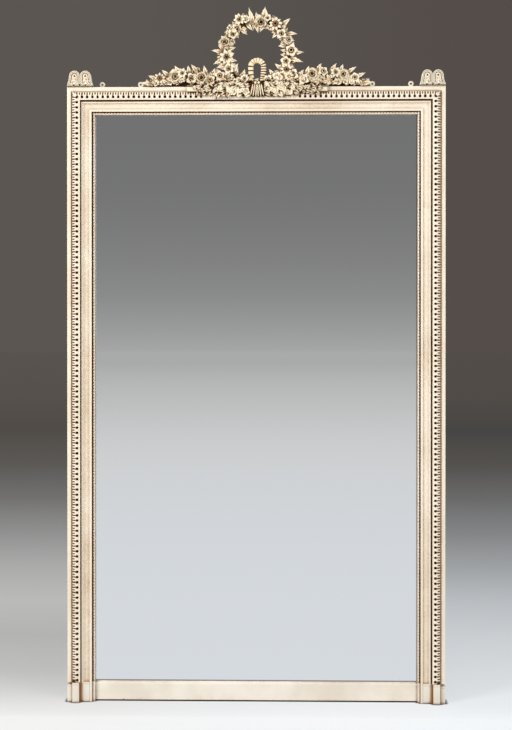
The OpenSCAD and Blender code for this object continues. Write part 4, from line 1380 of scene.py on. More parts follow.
@dataclass(frozen=True)
class Whorl:
    """A ring of blades. Its lengths are shares of the flower's radius, and its height one of its height."""

    blade: Blade
    count: int
    away: float
    height: float
    tilt: float
    phase: float = 0.0
    loose: bool = False


@dataclass(frozen=True)
class Heart:
    """The rounded or drilled middle of a flower, in the same shares."""

    radius: float
    height: float
    base: float
    pit: float = 0.0
    glaze: float = 0.0


@dataclass(frozen=True)
class Recipe:
    """How a kind of flower is made up, from its swollen back to its heart."""

    calyx: tuple[float, float]
    whorls: tuple[Whorl, ...] = ()
    heart: Heart | None = None


RECIPES = {
    Bloom.ROSE: Recipe((0.9, 0.46), (
        Whorl(Blade(0.76, 0.5, cup=0.12, curl=0.26, rise=0.1, thick=0.08, glaze=1.1), 7, 0.3, 0.42, 14),
        Whorl(Blade(0.56, 0.4, cup=0.16, curl=0.08, thick=0.075, glaze=1.2, wash=0.22),
              5, 0.32, 0.5, 50, 0.4),
        Whorl(Blade(0.36, 0.26, cup=0.12, curl=-0.06, thick=0.07, glaze=1.5, wash=0.5),
              4, 0.22, 0.52, 72, 0.7),
    ), Heart(0.2, 0.1, 0.54, glaze=1.5)),
    Bloom.DAISY: Recipe((0.8, 0.7), (
        Whorl(Blade(0.76, 0.19, peak=0.7, cup=-0.03, curl=0.14, rise=0.08, thick=0.1, glaze=1.2),
              9, 0.26, 0.72, 10),
    ), Heart(0.3, 0.17, 0.78, 0.22, 0.62)),
    Bloom.RING: Recipe((0.8, 0.6), (
        Whorl(Blade(0.74, 0.4, cup=0.14, curl=0.16, rise=0.06, thick=0.09, glaze=1.2, vein=0.4),
              5, 0.26, 0.6, 22),
    ), Heart(0.34, 0.2, 0.72, 0.3, 0.1)),
    Bloom.STAR: Recipe((0.8, 0.6), (
        Whorl(Blade(0.84, 0.27, sharp=0.6, tip=0.3, cup=0.06, curl=0.08, rise=0.12, thick=0.09, glaze=1.3,
                    vein=0.35), 8, 0.2, 0.62, 20),
    ), Heart(0.26, 0.14, 0.68, 0.18, 0.7)),
    Bloom.OPEN: Recipe((0.8, 0.5), (
        Whorl(Blade(0.8, 0.46, cup=0.2, curl=0.14, rise=0.04, thick=0.09, glaze=1.5),
              4, 0.26, 0.56, 32, loose=True),
        Whorl(Blade(0.34, 0.2, cup=0.08, thick=0.07, glaze=1.5, wash=0.6), 3, 0.18, 0.54, 66, 0.5),
    )),
    Bloom.BUD: Recipe((0.8, 0.5), (
        Whorl(Blade(1.15, 0.5, sharp=0.9, tip=0.1, cup=-0.22, curl=0.1, thick=0.1), 3, 0.35, 0.5, 62),
    ), Heart(0.6, 0.36, 0.6, glaze=0.3)),
    Bloom.BERRIES: Recipe((0.9, 0.5)),
}


class Carver:
    """Carves flowers and leaves with their face to Z and their back at 0."""

    def __init__(self, seed: int) -> None:
        """Starts the carver's own chance, the same each run."""
        self.chance = random.Random(seed)
        self.blades: dict[Blade, bpy.types.Mesh] = {}

    def blade(self, spec: Blade) -> bpy.types.Mesh:
        """Gives the mesh of a blade, cut once."""
        if spec not in self.blades:
            self.blades[spec] = spec.mesh()
        return self.blades[spec]

    def whorl(self, piece: Workpiece, spec: Whorl, radius: float, height: float) -> None:
        """Sets blades in a ring.

        Args:
            piece: the flower.
            spec: the whorl.
            radius: the flower's radius.
            height: the flower's height.
        """
        mesh = self.blade(spec.blade.sized(radius))
        count = spec.count + (self.chance.randrange(2) if spec.loose else 0)
        root = Matrix.Translation((0, spec.away * radius, spec.height * height))
        for i in range(count):
            angle = 360 / count * (i + spec.phase) + self.chance.uniform(-7, 7)
            lift = spec.tilt + self.chance.uniform(-7, 7)
            size = self.chance.uniform(0.9, 1.08)
            twist = turned(self.chance.uniform(-12, 12), "Y")
            piece.absorb(mesh, turned(angle, "Z") @ root @ turned(lift, "X") @ twist @ Matrix.Scale(size, 4))

    def heart(self, piece: Workpiece, spec: Heart, radius: float, height: float) -> None:
        """Adds a rounded heart, or one with a drilled pit.

        Args:
            piece: the flower.
            spec: the heart.
            radius: the flower's radius.
            height: the flower's height.
        """
        shape = piece.ball(Matrix(), spec.glaze)
        # A pit's floor is glazed near-black: painted shade in the drilled hollow.
        for vert in shape:
            if spec.pit and vert.co.z > 0 and math.hypot(vert.co.x, vert.co.y) < 0.45:
                vert.co.z -= spec.pit / spec.height
                vert.co.x *= 1.3
                vert.co.y *= 1.3
                vert[piece.glaze] = 2.0
        size = stretched(spec.radius * radius, spec.radius * radius, spec.height * height)
        piece.move(shape, Matrix.Translation((0, 0, spec.base * height)) @ size)

    def berries(self, piece: Workpiece, radius: float, height: float) -> None:
        """Adds a ring of five berries with one on top.

        Args:
            piece: the flower.
            radius: its radius.
            height: its height.
        """
        for i in range(6):
            away, lift = (radius * 0.55, 0.66) if i < 5 else (0.0, 0.8)
            angle = math.radians(72 * i)
            spot = Matrix.Translation((away * math.cos(angle), away * math.sin(angle), height * lift))
            piece.ball(spot @ Matrix.Scale(radius * 0.36, 4), 0.0, (9, 7))

    def flower(self, kind: Bloom, radius: float, height: float) -> bpy.types.Mesh:
        """Carves one flower.

        Args:
            kind: which flower.
            radius: its radius.
            height: from its back to its foremost petal.

        Returns:
            The flower's mesh.
        """
        piece = Workpiece("flower")
        recipe = RECIPES[kind]
        wide, deep = radius * recipe.calyx[0], height * recipe.calyx[1]
        calyx = bmesh.ops.create_cone(
            piece.bm, cap_ends=True, segments=10, radius1=wide * 0.62, radius2=wide * 0.5, depth=deep,
            matrix=Matrix.Translation((0, 0, deep / 2)),
        )["verts"]
        # The calyx at the flower's back is glazed dark: painted shade where it shows between the petals.
        piece.tint(calyx, 1.5)
        for whorl in recipe.whorls:
            self.whorl(piece, whorl, radius, height)
        if recipe.heart:
            self.heart(piece, recipe.heart, radius, height)
        if kind is Bloom.BERRIES:
            self.berries(piece, radius, height)
        verts = piece.bm.verts[:]
        grown = radius / max(math.hypot(vert.co.x, vert.co.y) for vert in verts)
        bmesh.ops.scale(piece.bm, vec=(grown, grown, height / max(vert.co.z for vert in verts)), verts=verts)
        return piece.as_mesh()

    def leaf(self, length: float, width: float, stain: float = 1.0) -> bpy.types.Mesh:
        """Carves one toothed leaf.

        Args:
            length: from stalk to tip.
            width: its full width.
            stain: how strongly its root and vein are glazed.

        Returns:
            The leaf's mesh.
        """
        return self.blade(Blade(
            round(length), round(width / 2), root=0.3, peak=0.42, tip=0.04, sharp=1.05, cup=1.8, curl=3.0,
            rise=3.6, rib=1.8, teeth=0.22, thick=1.7, columns=6, rows=8, glaze=stain, vein=1.1 * stain,
        ))


WORLD_FROM_CARVED = Matrix(((1, 0, 0, 0), (0, 0, -1, 0), (0, 1, 0, 0), (0, 0, 0, 1)))

B = Bloom
WREATH_FLOWERS = (
    (B.ROSE, -150, 2, 18, 8), (B.OPEN, -120, 0, 16, 5), (B.STAR, -94, 0, 22, 2), (B.ROSE, -73, 2, 21, 0),
    (B.OPEN, -52, -4, 16, 4), (B.RING, -40, 5, 16, 5), (B.STAR, -27, 12, 17, 2), (B.ROSE, 5, 0, 22, 0),
    (B.DAISY, 34, 8, 20, 1), (B.OPEN, 52, -2, 15, 4), (B.ROSE, 67, 2, 15, 3), (B.RING, 86, 7, 18, 2),
    (B.OPEN, 103, -4, 15, 5), (B.DAISY, 118, 2, 18, 4), (B.OPEN, 138, 0, 16, 6), (B.BERRIES, 160, 2, 15, 8),
    (B.OPEN, -19, 7, 12, 2), (B.OPEN, 17, 12, 11, 4), (B.BUD, -18, 24, 9, 8), (B.BUD, 25, 20, 9, 8),
    (B.BUD, -57, 15, 9, 8), (B.RING, -13, -4, 11, 8),
)
WREATH_LEAVES = (
    (11, 12, -4, 30, 19), (-9, -8, -3, 46, 15), (-14, 4, 40, 24, 13), (-19, -2, 160, 26, 13),
    (42, 18, 10, 28, 14), (58, 12, 30, 26, 12), (89, 16, 0, 26, 11), (100, 4, 4, 38, 14),
    (-89, 12, 14, 28, 13), (-99, 10, -24, 30, 13), (-110, 5, 0, 28, 12), (-82, -8, 160, 22, 11),
    (-103, -8, 200, 24, 11), (-3, -10, 165, 24, 12), (14, -10, 200, 22, 12), (-34, -8, 165, 24, 12),
    (44, -10, 175, 20, 12), (124, -10, 190, 22, 12), (-126, -8, 160, 24, 12), (75, -8, 190, 20, 11),
)
FOOT_FLOWERS = (
    (B.ROSE, -104, 10, 19, 3), (B.DAISY, -80, 30, 17, 7), (B.OPEN, -62, 8, 18, 4), (B.STAR, -38, 18, 14, 6),
    (B.RING, 34, 20, 15, 5), (B.OPEN, 54, 10, 17, 4), (B.DAISY, 76, 28, 17, 7), (B.ROSE, 98, 8, 19, 2),
    (B.OPEN, 106, 34, 17, 6), (B.RING, -108, 34, 15, 6),
)
LEFT_FLOWERS = (
    (B.RING, -140, 14, 16, 6), (B.ROSE, -160, 24, 21, 1), (B.BUD, -184, 42, 13, 6),
    (B.OPEN, -196, 25, 17, 4), (B.STAR, -220, 38, 15, 6), (B.ROSE, -247, 31, 21, 1),
    (B.BUD, -268, 22, 13, 8), (B.DAISY, -289, 20, 17, 4), (B.BUD, -311, 10, 11, 10),
)
RIGHT_FLOWERS = (
    (B.OPEN, 138, 16, 17, 6), (B.ROSE, 165, 33, 22, 0), (B.RING, 192, 40, 15, 5), (B.BUD, 210, 20, 15, 7),
    (B.STAR, 229, 38, 16, 4), (B.ROSE, 258, 32, 18, 2), (B.BUD, 276, 14, 12, 9), (B.RING, 291, 22, 15, 5),
    (B.BUD, 312, 10, 11, 10),
)
HANGING_FLOWERS = (
    (B.ROSE, -92, -9, 15), (B.OPEN, -66, -15, 14), (B.DAISY, -48, -4, 13), (B.RING, -33, -16, 12),
    (B.RING, 32, -8, 13), (B.OPEN, 52, -17, 13), (B.ROSE, 70, -7, 15), (B.OPEN, 94, -14, 14),
    (B.STAR, 110, -1, 12), (B.RING, -112, -2, 12),
)
FOOT_LEAVES = ((-64, 40, 98, 24, 14), (-44, 28, 70, 24, 11), (46, 32, 118, 22, 11), (72, 44, 84, 20, 13))
LEFT_LEAVES = (
    (-150, 34, 105, 26, 14), (-178, 44, 125, 26, 14), (-200, 38, 100, 22, 13), (-228, 40, 128, 24, 14),
    (-262, 32, 140, 24, 13), (-298, 22, 158, 24, 13), (-316, 8, 176, 28, 12),
)
RIGHT_LEAVES = (
    (146, 34, 75, 24, 14), (178, 46, 62, 22, 13), (216, 46, 52, 28, 12), (246, 44, 70, 20, 13),
    (268, 38, 38, 28, 13), (296, 26, 30, 24, 12), (314, 8, 4, 30, 12),
)
HANGING_LEAVES = (
    (-50, 2, 206, 56, 12), (50, 2, -26, 56, 12), (-28, -8, 196, 44, 12), (28, -8, -16, 44, 12),
    (-76, 6, 250, 36, 16), (-58, 4, 264, 34, 15), (74, 6, -70, 36, 16), (56, 4, -84, 34, 15),
    (-104, 4, 238, 26, 14), (100, 4, -58, 26, 14),
)


@dataclass
class Crest:
    """Wreath, sprays, ribbon and base board of the crest.

    The base's slabs hold half length, front, back, foot, top, bevel and glazing; the slabs set back behind
    the lip's face are glazed dark as painted shade.
    """

    material: bpy.types.Material
    sunlit: bpy.types.Material
    middle: float = 4.0
    wreath_z: float = 1921.0
    wreath_radius: float = 97.0
    swell: float = 1.12
    carver: Carver = field(default_factory=lambda: Carver(11))
    room: tuple = ((-131.5, -38.7, 1781.0), (142.5, 7.0, 2057.4))
    small: tuple = (Bloom.BUD, Bloom.RING, Bloom.OPEN, Bloom.DAISY)
    slabs: tuple = (
        (207, 8, 11.7, 1806, 1808.4, 0.6, 0.0), (207, 10.9, 11.7, 1807, 1823.4, 0.3, 0.0),
        (172, 10.4, 12, 1808, 1826.4, 0.3, 1.9), (207, 10, 11.9, 1821.5, 1826.5, 0.4, 0.0),
        (207, 10.4, 30, 1824.2, 1826.5, 0.4, 0.0), (207, 28, 46, 1824, 1833, 0.8, 1.2),
    )

    def settle(self, piece: Workpiece, mesh: bpy.types.Mesh, matrix: Matrix) -> None:
        """Absorbs a mesh, moved just enough to stay in the carving's room.

        Args:
            piece: the carving.
            mesh: the shape.
            matrix: where it would go.
        """
        spots = [matrix @ vert.co for vert in mesh.vertices]
        move = Vector()
        for axis, (low, high) in enumerate(zip(*self.room)):
            under = low - min(spot[axis] for spot in spots)
            over = max(spot[axis] for spot in spots) - high
            move[axis] = under if under > 0 else -max(0.0, over)
        piece.absorb(mesh, Matrix.Translation(move) @ matrix)

    def set_flower(self, piece: Workpiece, kind: Bloom, x: float, z: float, radius: float, front: float,
                   back: float = 32.0) -> None:
        """Puts one flower on the carving.

        Args:
            piece: the carving.
            kind: which flower.
            x: its middle across.
            z: its middle up.
            radius: its radius.
            front: depth of its foremost petal.
            back: depth of its back.
        """
        chance = self.carver.chance
        mesh = self.carver.flower(kind, radius, back - front)
        lean = turned(chance.uniform(-13, 13), "X") @ turned(chance.uniform(-13, 13), "Y")
        spin = Matrix.Rotation(chance.uniform(0, math.tau), 4, "Z")
        spot = Matrix.Translation((x, back - HALF_DEPTH, z))
        self.settle(piece, mesh, spot @ WORLD_FROM_CARVED @ lean @ spin)
        bpy.data.meshes.remove(mesh)

    def set_leaf(self, piece: Workpiece, x: float, z: float, heading: float, length: float, width: float,
                 lift: float = 10.0, depth: float = 18.0, stain: float = 1.0, flat: float = 1.0) -> None:
        """Puts one leaf on the carving.

        Args:
            piece: the carving.
            x: its stalk across.
            z: its stalk up.
            heading: where the tip points, in degrees from +X towards +Z.
            length: from stalk to tip.
            width: its full width.
            lift: how far the tip stands forward, in degrees.
            depth: depth of the stalk.
            stain: how strongly its root and vein are glazed.
            flat: share of its usual relief.
        """
        mesh = self.carver.leaf(length, width, stain)
        roll = turned(self.carver.chance.uniform(-16, 16) * flat, "Y")
        raised = turned(lift + self.carver.chance.uniform(-5, 5) * flat, "X")
        spot = Matrix.Translation((x, depth - HALF_DEPTH, z))
        turn = turned(heading - 90, "Z")
        self.settle(piece, mesh, spot @ WORLD_FROM_CARVED @ turn @ raised @ roll @ stretched(1.0, 1.0, flat))

    def lay_flowers(self, piece: Workpiece, rows: Sequence[tuple], *depths: float) -> None:
        """Lays flowers from rows of kind, x, z above the top rail, radius and front.

        Args:
            piece: the carving.
            rows: the flowers.
            depths: front and back of flowers whose rows don't hold a front.
        """
        for kind, x, z, radius, *front in rows:
            self.set_flower(piece, kind, self.middle + x, TOP + z, radius * self.swell, *front, *depths)

    def lay_leaves(self, piece: Workpiece, rows: Sequence[tuple], longer: float, *rest: float) -> None:
        """Lays leaves from rows of x, z above the top rail, heading, length and width.

        Args:
            piece: the carving.
            rows: the leaves.
            longer: share that each length is multiplied by.
            rest: lift, depth and stain, as in set_leaf.
        """
        for x, z, heading, length, width in rows:
            self.set_leaf(piece, self.middle + x, TOP + z, heading, length * longer, width, *rest)

    def board(self, piece: Workpiece, outline: Iterable[tuple[float, float]], back: float, front: float,
              glaze: float = 1.7) -> None:
        """Adds a ground that the carving grows from, glazed dark as painted shade behind the carving.

        Args:
            piece: the carving.
            outline: corners as (x from the crest's middle, z above the top rail).
            back: depth of its back.
            front: depth of its front.
            glaze: its glazing, near-black by default as painted shade.
        """
        piece.plate([(self.middle + x, TOP + z) for x, z in outline], back, front, glaze)

    def paint_depth_shade(self, piece: Workpiece, amount: float, start: float, reach: float, below: float = math.inf,
               before: float = math.inf) -> None:
        """Paints shade on a low relief: the deeper it lies, the darker its glazing.

        Args:
            piece: the carving.
            amount: painted shade at its ground.
            start: y where the painted shade begins.
            reach: how far behind that it is full.
            below: height that the points stay below.
            before: y that the points stay in front of.
        """
        for vert in piece.bm.verts:
            if vert.co.z < below and vert.co.y < before:
                vert[piece.glaze] += amount * min(1.0, max(0.0, (vert.co.y - start) / reach))

    def ring_body(self, piece: Workpiece) -> None:
        """Turns the body that the wreath's flowers grow from, glazed brown where it shows between them:
        partly brown glazing, partly painted shade.

        Args:
            piece: the wreath.
        """
        ring = bmesh.ops.create_circle(piece.bm, segments=12, radius=1.0, cap_ends=False)["verts"]
        piece.move(ring, Matrix.Translation((self.wreath_radius, 0, 0)) @ stretched(17.0, 7.8, 1.0))
        upright = Matrix.Rotation(math.pi / 2, 3, "X")
        bmesh.ops.rotate(piece.bm, cent=(self.wreath_radius, 0, 0), matrix=upright, verts=ring)
        edges = list({edge for vert in ring for edge in vert.link_edges})
        bmesh.ops.spin(
            piece.bm, geom=[*ring, *edges], cent=(0, 0, 0), axis=(0, 0, 1), angle=math.tau, steps=48,
            use_merge=True,
        )
        bmesh.ops.remove_doubles(piece.bm, verts=piece.bm.verts[:], dist=0.01)
        piece.face_out()
        piece.bm.transform(Matrix.Translation((self.middle, -1.0, self.wreath_z)) @ WORLD_FROM_CARVED)
        # Glazed brown all over: partly brown glazing, partly painted shade in the gaps between the flowers.
        piece.tint(piece.bm.verts, 0.75)

    def on_ring(self, angle: float, away: float) -> tuple[float, float]:
        """Place on the wreath at an angle from its top, as x and z."""
        turn, reach = math.radians(angle), self.wreath_radius - 3.0 + away
        return self.middle + reach * math.sin(turn), self.wreath_z + reach * math.cos(turn)

    def filling(self, piece: Workpiece, leaves: int = 96, blossoms: int = 22) -> None:
        """Fills the wreath between its large flowers with small leaves and blossoms.

        Args:
            piece: the wreath.
            leaves: how many leaves, pointing out and in by turns.
            blossoms: how many small flowers.
        """
        chance = self.carver.chance
        for i in range(leaves):
            angle = 360 / leaves * i + chance.uniform(-1.5, 1.5)
            inward = i % 2
            x, z = self.on_ring(angle, -8 if inward else 8)
            heading = 90 - angle + (180 if inward else 0) + chance.uniform(-65, 65)
            length = chance.uniform(14, 19) if inward else chance.uniform(15, 21)
            self.set_leaf(piece, x, z, heading, length, chance.uniform(9, 13), 12, chance.uniform(14, 23))
        for i in range(blossoms):
            angle = 360 / blossoms * i + chance.uniform(-5, 5)
            x, z = self.on_ring(angle, chance.choice((-13, -9, 10, 15)))
            kind = chance.choice(self.small)
            self.set_flower(piece, kind, x, z, chance.uniform(8, 11), chance.uniform(8, 13))

    def foot_leaves(self, piece: Workpiece) -> None:
        """Lays the leaves at the wreath's foot, hanging ones first and then those beside it.

        Args:
            piece: the wreath.
        """
        chance = self.carver.chance
        for side in (-1, 1):
            for i in range(16):
                x = side * (22 + 5.6 * i) + chance.uniform(-3, 3)
                spot = (self.middle + x, TOP + (-19, -8, 1, -15)[i % 4] + chance.uniform(-3, 3))
                heading = 270 + side * chance.uniform(*((5, 85) if i % 4 else (20, 70)))
                size = (chance.uniform(19, 27), chance.uniform(12, 16))
                self.set_leaf(piece, *spot, heading, *size, 5, 5.9, 1.6)
            for i in range(7):
                spot = (self.middle + side * chance.uniform(102, 122), TOP + 5 + 5.5 * i)
                heading = 90 - side * chance.uniform(-20, 100)
                self.set_leaf(piece, *spot, heading, chance.uniform(15, 20), 12, 12, 20)

    def wreath(self) -> None:
        """Carves the wreath with the flowers at its foot."""
        piece = Workpiece("crest_wreath")
        self.ring_body(piece)
        self.filling(piece)
        for kind, angle, away, radius, front in WREATH_FLOWERS:
            self.set_flower(piece, kind, *self.on_ring(angle, away), radius * self.swell, front)
        for angle, away, bent, length, width in WREATH_LEAVES:
            self.set_leaf(piece, *self.on_ring(angle, away), 90 - angle - bent, length * 1.1, width, 12, 14)
        ground = ((-118, 0.4), (118, 0.4), (118, 40), (78, 46), (44, 22), (-44, 22), (-78, 46), (-118, 40))
        self.board(piece, ground, 46, 30)
        self.board(piece, ((-112, 9), (112, 9), (114, -8), (96, -29), (-96, -29), (-114, -8)), 7.9, 6.6)
        self.lay_flowers(piece, FOOT_FLOWERS)
        self.lay_leaves(piece, FOOT_LEAVES, 1.0)
        self.foot_leaves(piece)
        self.lay_flowers(piece, HANGING_FLOWERS, 0.6, 9.0)
        self.lay_leaves(piece, HANGING_LEAVES, 1.0, 2.0, 4.6, 1.4)
        self.paint_depth_shade(piece, 1.4, -36.8, 4.2, below=TOP + 16)
        self.band(piece, self.loop_path(Vector((98.5, 1852.0)), 8.6, 28), 4.8, 9.5)
        piece.hand_over(self.material, ["wreath"], 50)

    def spray(self, side: Side, flowers: Sequence[tuple], leaves: Sequence[tuple]) -> None:
        """Carves one garland.

        Args:
            side: left or right.
            flowers: its flowers.
            leaves: its leaves.
        """
        piece = Workpiece(f"crest_spray_{side.value}")
        sign = -1 if side is Side.LEFT else 1
        outline = ((121, 0.4), (121, 36), (180, 40), (240, 33), (296, 14), (322, 4), (322, 0.4))
        self.board(piece, [(sign * x, z) for x, z in outline], 46, 30)
        chance = self.carver.chance
        for i in range(40):
            x = 126 + 5.2 * i + chance.uniform(-3, 3)
            ceiling = 38 - max(0.0, x - 180) * 0.24
            spot = (self.middle + sign * x, TOP + chance.uniform(4, max(6.0, ceiling)))
            heading = 90 - sign * chance.uniform(-30, 95)
            size = (chance.uniform(15, 22), chance.uniform(9, 13))
            self.set_leaf(piece, *spot, heading, *size, 14, chance.uniform(15, 23))
        for i in range(9):
            x = 132 + 21 * i + chance.uniform(-4, 4)
            kind = chance.choice(self.small)
            z = TOP + (chance.uniform(8, 26) if x < 250 else 9)
            size = (chance.uniform(8, 11), chance.uniform(8, 12))
            self.set_flower(piece, kind, self.middle + sign * x, z, *size)
        self.lay_flowers(piece, flowers)
        self.lay_leaves(piece, leaves, 1.12, 12, 14)
        # The right garland takes the lighter copy of the paint: painted light.
        paint = self.material if side is Side.LEFT else self.sunlit
        piece.hand_over(paint, [f"garland_{side.value}"], 50)

    def drop_path(self, radius: float, crown_z: float, point_z: float, pitch: float) -> list[tuple]:
        """Places along a hanging drop, from its point round and back.

        Args:
            radius: radius of the round part.
            crown_z: height of the round part's middle.
            point_z: height of the point.
            pitch: distance between two places.

        Returns:
            Each place as (x and z, direction in radians, share of the way).
        """
        fall = crown_z - point_z
        side = [Vector((radius * (1 - (i / 30) ** 3.2), crown_z - fall * i / 30)) for i in range(31)]
        turns = [math.pi * (1 - i / 24) for i in range(1, 24)]
        line = [Vector((-spot.x, spot.y)) for spot in reversed(side)]
        line += [Vector((radius * math.cos(turn), crown_z + radius * math.sin(turn))) for turn in turns]
        line += side
        ways = [0.0]
        for before, after in zip(line, line[1:]):
            ways.append(ways[-1] + (after - before).length)
        count = round(ways[-1] / pitch)
        places = []
        for i in range(count):
            way = ways[-1] * (i + 0.5) / count
            last = next(k for k, length in enumerate(ways) if length >= way)
            step = line[last] - line[last - 1]
            spot = line[last - 1] + step.normalized() * (way - ways[last - 1])
            places.append((spot + Vector((self.middle, 0)), math.atan2(step.y, step.x), way / ways[-1]))
        return places

    def loop_path(self, centre: Vector, radius: float, count: int) -> list[tuple]:
        """Places round a small loop, as in a drop's path.

        Args:
            centre: the loop's middle as x and z.
            radius: its radius.
            count: how many places.

        Returns:
            The places.
        """
        angles = [math.tau * i / count for i in range(count)]
        spots = [centre + radius * Vector((math.cos(angle), math.sin(angle))) for angle in angles]
        return [(spot, angle + math.pi / 2, 0.5) for spot, angle in zip(spots, angles)]

    def band(self, piece: Workpiece, places: Sequence[tuple], half_band: float, depth: float) -> None:
        """Sweeps a ribbon along a path, nipped in at every few places, where dark glazing paints the shadow
        of its folds.

        Args:
            piece: the carving.
            places: close places along the path.
            half_band: half the ribbon's width.
            depth: depth of its middle.
        """
        shape = bmesh.ops.create_circle(piece.bm, cap_ends=True, segments=14, radius=1.0)["verts"]
        for vert in shape:
            vert.co.x = math.copysign(abs(vert.co.x) ** 0.6, vert.co.x)
        face = shape[0].link_faces[0]
        made = [*shape]
        before = Matrix()
        for i, (spot, heading, way) in enumerate(places):
            nip = i % (5 if way < 0.45 else 3) == 0
            pinch = min(1.0, 0.55 + 2.0 * min(way, 1 - way)) * (0.94 if nip else 1.0)
            size = stretched(half_band * pinch, 3.6 if nip else 4.8, 1.0)
            turn = Matrix.Rotation(math.pi / 2 - heading, 4, "Y")
            now = Matrix.Translation((spot.x, depth - HALF_DEPTH, spot.y)) @ turn @ size
            if i:
                face = piece.pull(face)
                made += face.verts
            piece.move(list(face.verts), now @ before.inverted())
            # Each nip is glazed dark, lighter at the top of the loop: painted shadow of the ribbon's folds.
            piece.tint(face.verts, (0.4 if 0.4 < way < 0.6 else 1.7) if nip else 0.0)
            before = now
        piece.face_out(made)

    def ribbon(self) -> None:
        """Carves the scaled ribbon loop, its knot and the pleated fan below it."""
        piece = Workpiece("ribbon_bow")
        self.band(piece, self.drop_path(19.0, 1882.0, 1824.0, 2.5), 8.1, 21.0)
        self.board(piece, ((-9, 5), (9, 5), (20, -31), (-20, -31)), 7.8, 6.6, 2.0)
        for i in range(6):
            share = (i - 2.5) / 2.5
            low = Vector((self.middle + share * 19.5, 5.2 - HALF_DEPTH, 1792.5 + 3 * abs(share)))
            high = Vector((self.middle + share * 12.5, 5.2 - HALF_DEPTH, 1829))
            self.pleat(piece, low, high, 2.9)
        for x in (-4.6, 4.6):
            spot = Matrix.Translation((self.middle + x, 11 - HALF_DEPTH, 1833.0))
            piece.ball(spot @ stretched(4.6, 9.0, 5.6), 0.0, (14, 10))
        piece.face_out()
        piece.hand_over(self.material, ["ribbon_loop"], 60)

    def pleat(self, piece: Workpiece, low: Vector, high: Vector, radius: float) -> None:
        """Adds one long rounded pleat.

        Args:
            piece: the ribbon.
            low: its lower end.
            high: its upper end.
            radius: its radius.
        """
        shape = piece.ball(Matrix(), 0.0, (8, 8))
        # The back half of each pleat is glazed dark: painted shade between the pleats.
        piece.tint([vert for vert in shape if vert.co.y > 0.3], 0.9)
        for vert in shape:
            vert.co.z = math.copysign(abs(vert.co.z) ** 0.5, vert.co.z)
        along = high - low
        turn = along.to_track_quat("Z", "Y").to_matrix().to_4x4()
        size = stretched(radius, radius, along.length / 2)
        piece.move(shape, Matrix.Translation((low + high) / 2) @ turn @ size)

    def strew(self, piece: Workpiece, places: tuple[int, float, float], heights: tuple, sway: tuple,
              lengths: tuple, widths: tuple, depth: float) -> None:
        """Lays a row of flat leaves to both sides.

        Args:
            piece: the base board.
            places: how many leaves, the first one's distance from the middle and their pitch.
            heights: heights above the top rail that take turns.
            sway: least and most turn from upright, in degrees.
            lengths: least and most length.
            widths: least and most width.
            depth: depth of their stalks.
        """
        chance = self.carver.chance
        count, first, pitch = places
        for side in (-1, 1):
            for i in range(count):
                x = self.middle + side * (first + pitch * i)
                z = TOP + heights[i % len(heights)] + chance.uniform(-2, 2)
                heading = 90 - side * chance.uniform(*sway)
                size = (chance.uniform(*lengths), chance.uniform(*widths))
                self.set_leaf(piece, x, z, heading, *size, 4, depth, 1.6, 0.8)

    def base(self) -> None:
        """Makes the base board with its lip in front of the leaf moulding, and the leaves on it."""
        piece = Workpiece("crest_board")
        for half, front, back, foot, top, bevel, glaze in self.slabs:
            low = (self.middle - half, front - HALF_DEPTH, foot)
            piece.tint(piece.block(low, (self.middle + half, back - HALF_DEPTH, top), bevel), glaze)
        self.strew(piece, (24, 98, 3.5), (-16, -7, 2), (40, 160), (15, 22), (9, 13), 9.0)
        self.strew(piece, (12, 20, 7.4), (4, 10, 0), (-20, 130), (16, 22), (11, 14), 6.4)
        self.paint_depth_shade(piece, 1.2, -34.6, 3.6, before=-28.9)
        piece.hand_over(self.material, ["crest_base"])

    def build(self) -> None:
        """Carves the whole crest, each piece in its own room."""
        self.wreath()
        self.room = ((-339.4, -37.7, 1824.3), (-118.6, 7.0, 1889.0))
        self.spray(Side.LEFT, LEFT_FLOWERS, LEFT_LEAVES)
        self.room = ((126.6, -38.7, 1824.3), (347.4, 7.0, 1891.8))
        self.spray(Side.RIGHT, RIGHT_FLOWERS, RIGHT_LEAVES)
        self.ribbon()
        self.room = ((-203.0, -36.0, 1790.0), (211.0, 6.9, 1840.0))
        self.base()


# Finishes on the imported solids


@dataclass
class Carcase:
    """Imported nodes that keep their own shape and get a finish."""

    nodes: dict[str, bpy.types.Object]
    effects: Effects

    def paint(self, finish: Finish, *names: str) -> None:
        """Gives a finish to some nodes.

        Args:
            finish: the finish.
            names: the nodes.
        """
        material = finish.dress(self.effects)
        for name in names:
            mesh = self.nodes[name].data
            mesh.materials.clear()
            mesh.materials.append(material)
            LOG.info("%s: %s", name, material.name)

    def build(self) -> None:
        """Dresses every node that stays."""
        self.paint(PaintFinish("painted_carcase", cavity_glaze_and_shade=0.5, edge_wear_and_highlight=0.25, bare_back=True),
                   "stile_left", "stile_right", "top_rail")
        self.paint(TimberFinish("sawn_pine", srgb(190, 152, 104), srgb(140, 98, 58)),
                   "setting_blocks", "glazing_blocks", *(f"backboard_{i}" for i in range(1, 9)))
        self.paint(TimberFinish("riven_oak", srgb(150, 112, 70), srgb(96, 64, 36), 0.4),
                   "joint_pegs", "crest_dowels")
        self.paint(IronFinish("forged_iron", srgb(92, 88, 84)),
                   "backboard_nails", "strap_left", "strap_right", "strap_screws", "eye_screws")
        self.paint(IronFinish("cream_painted_iron", srgb(250, 242, 220), srgb(150, 118, 78), -0.2, True),
                   "eye_outer_left", "eye_outer_right", "eye_inner_left", "eye_inner_right")
        self.paint(SilverFinish("old_silvering"), "mirror_plate")


# Stage, light and camera


def grey(level: int, warm: int = 0) -> Colour:
    """A grey, a little warm or, below 0, a little cool."""
    return srgb(level + warm, level, level - warm)


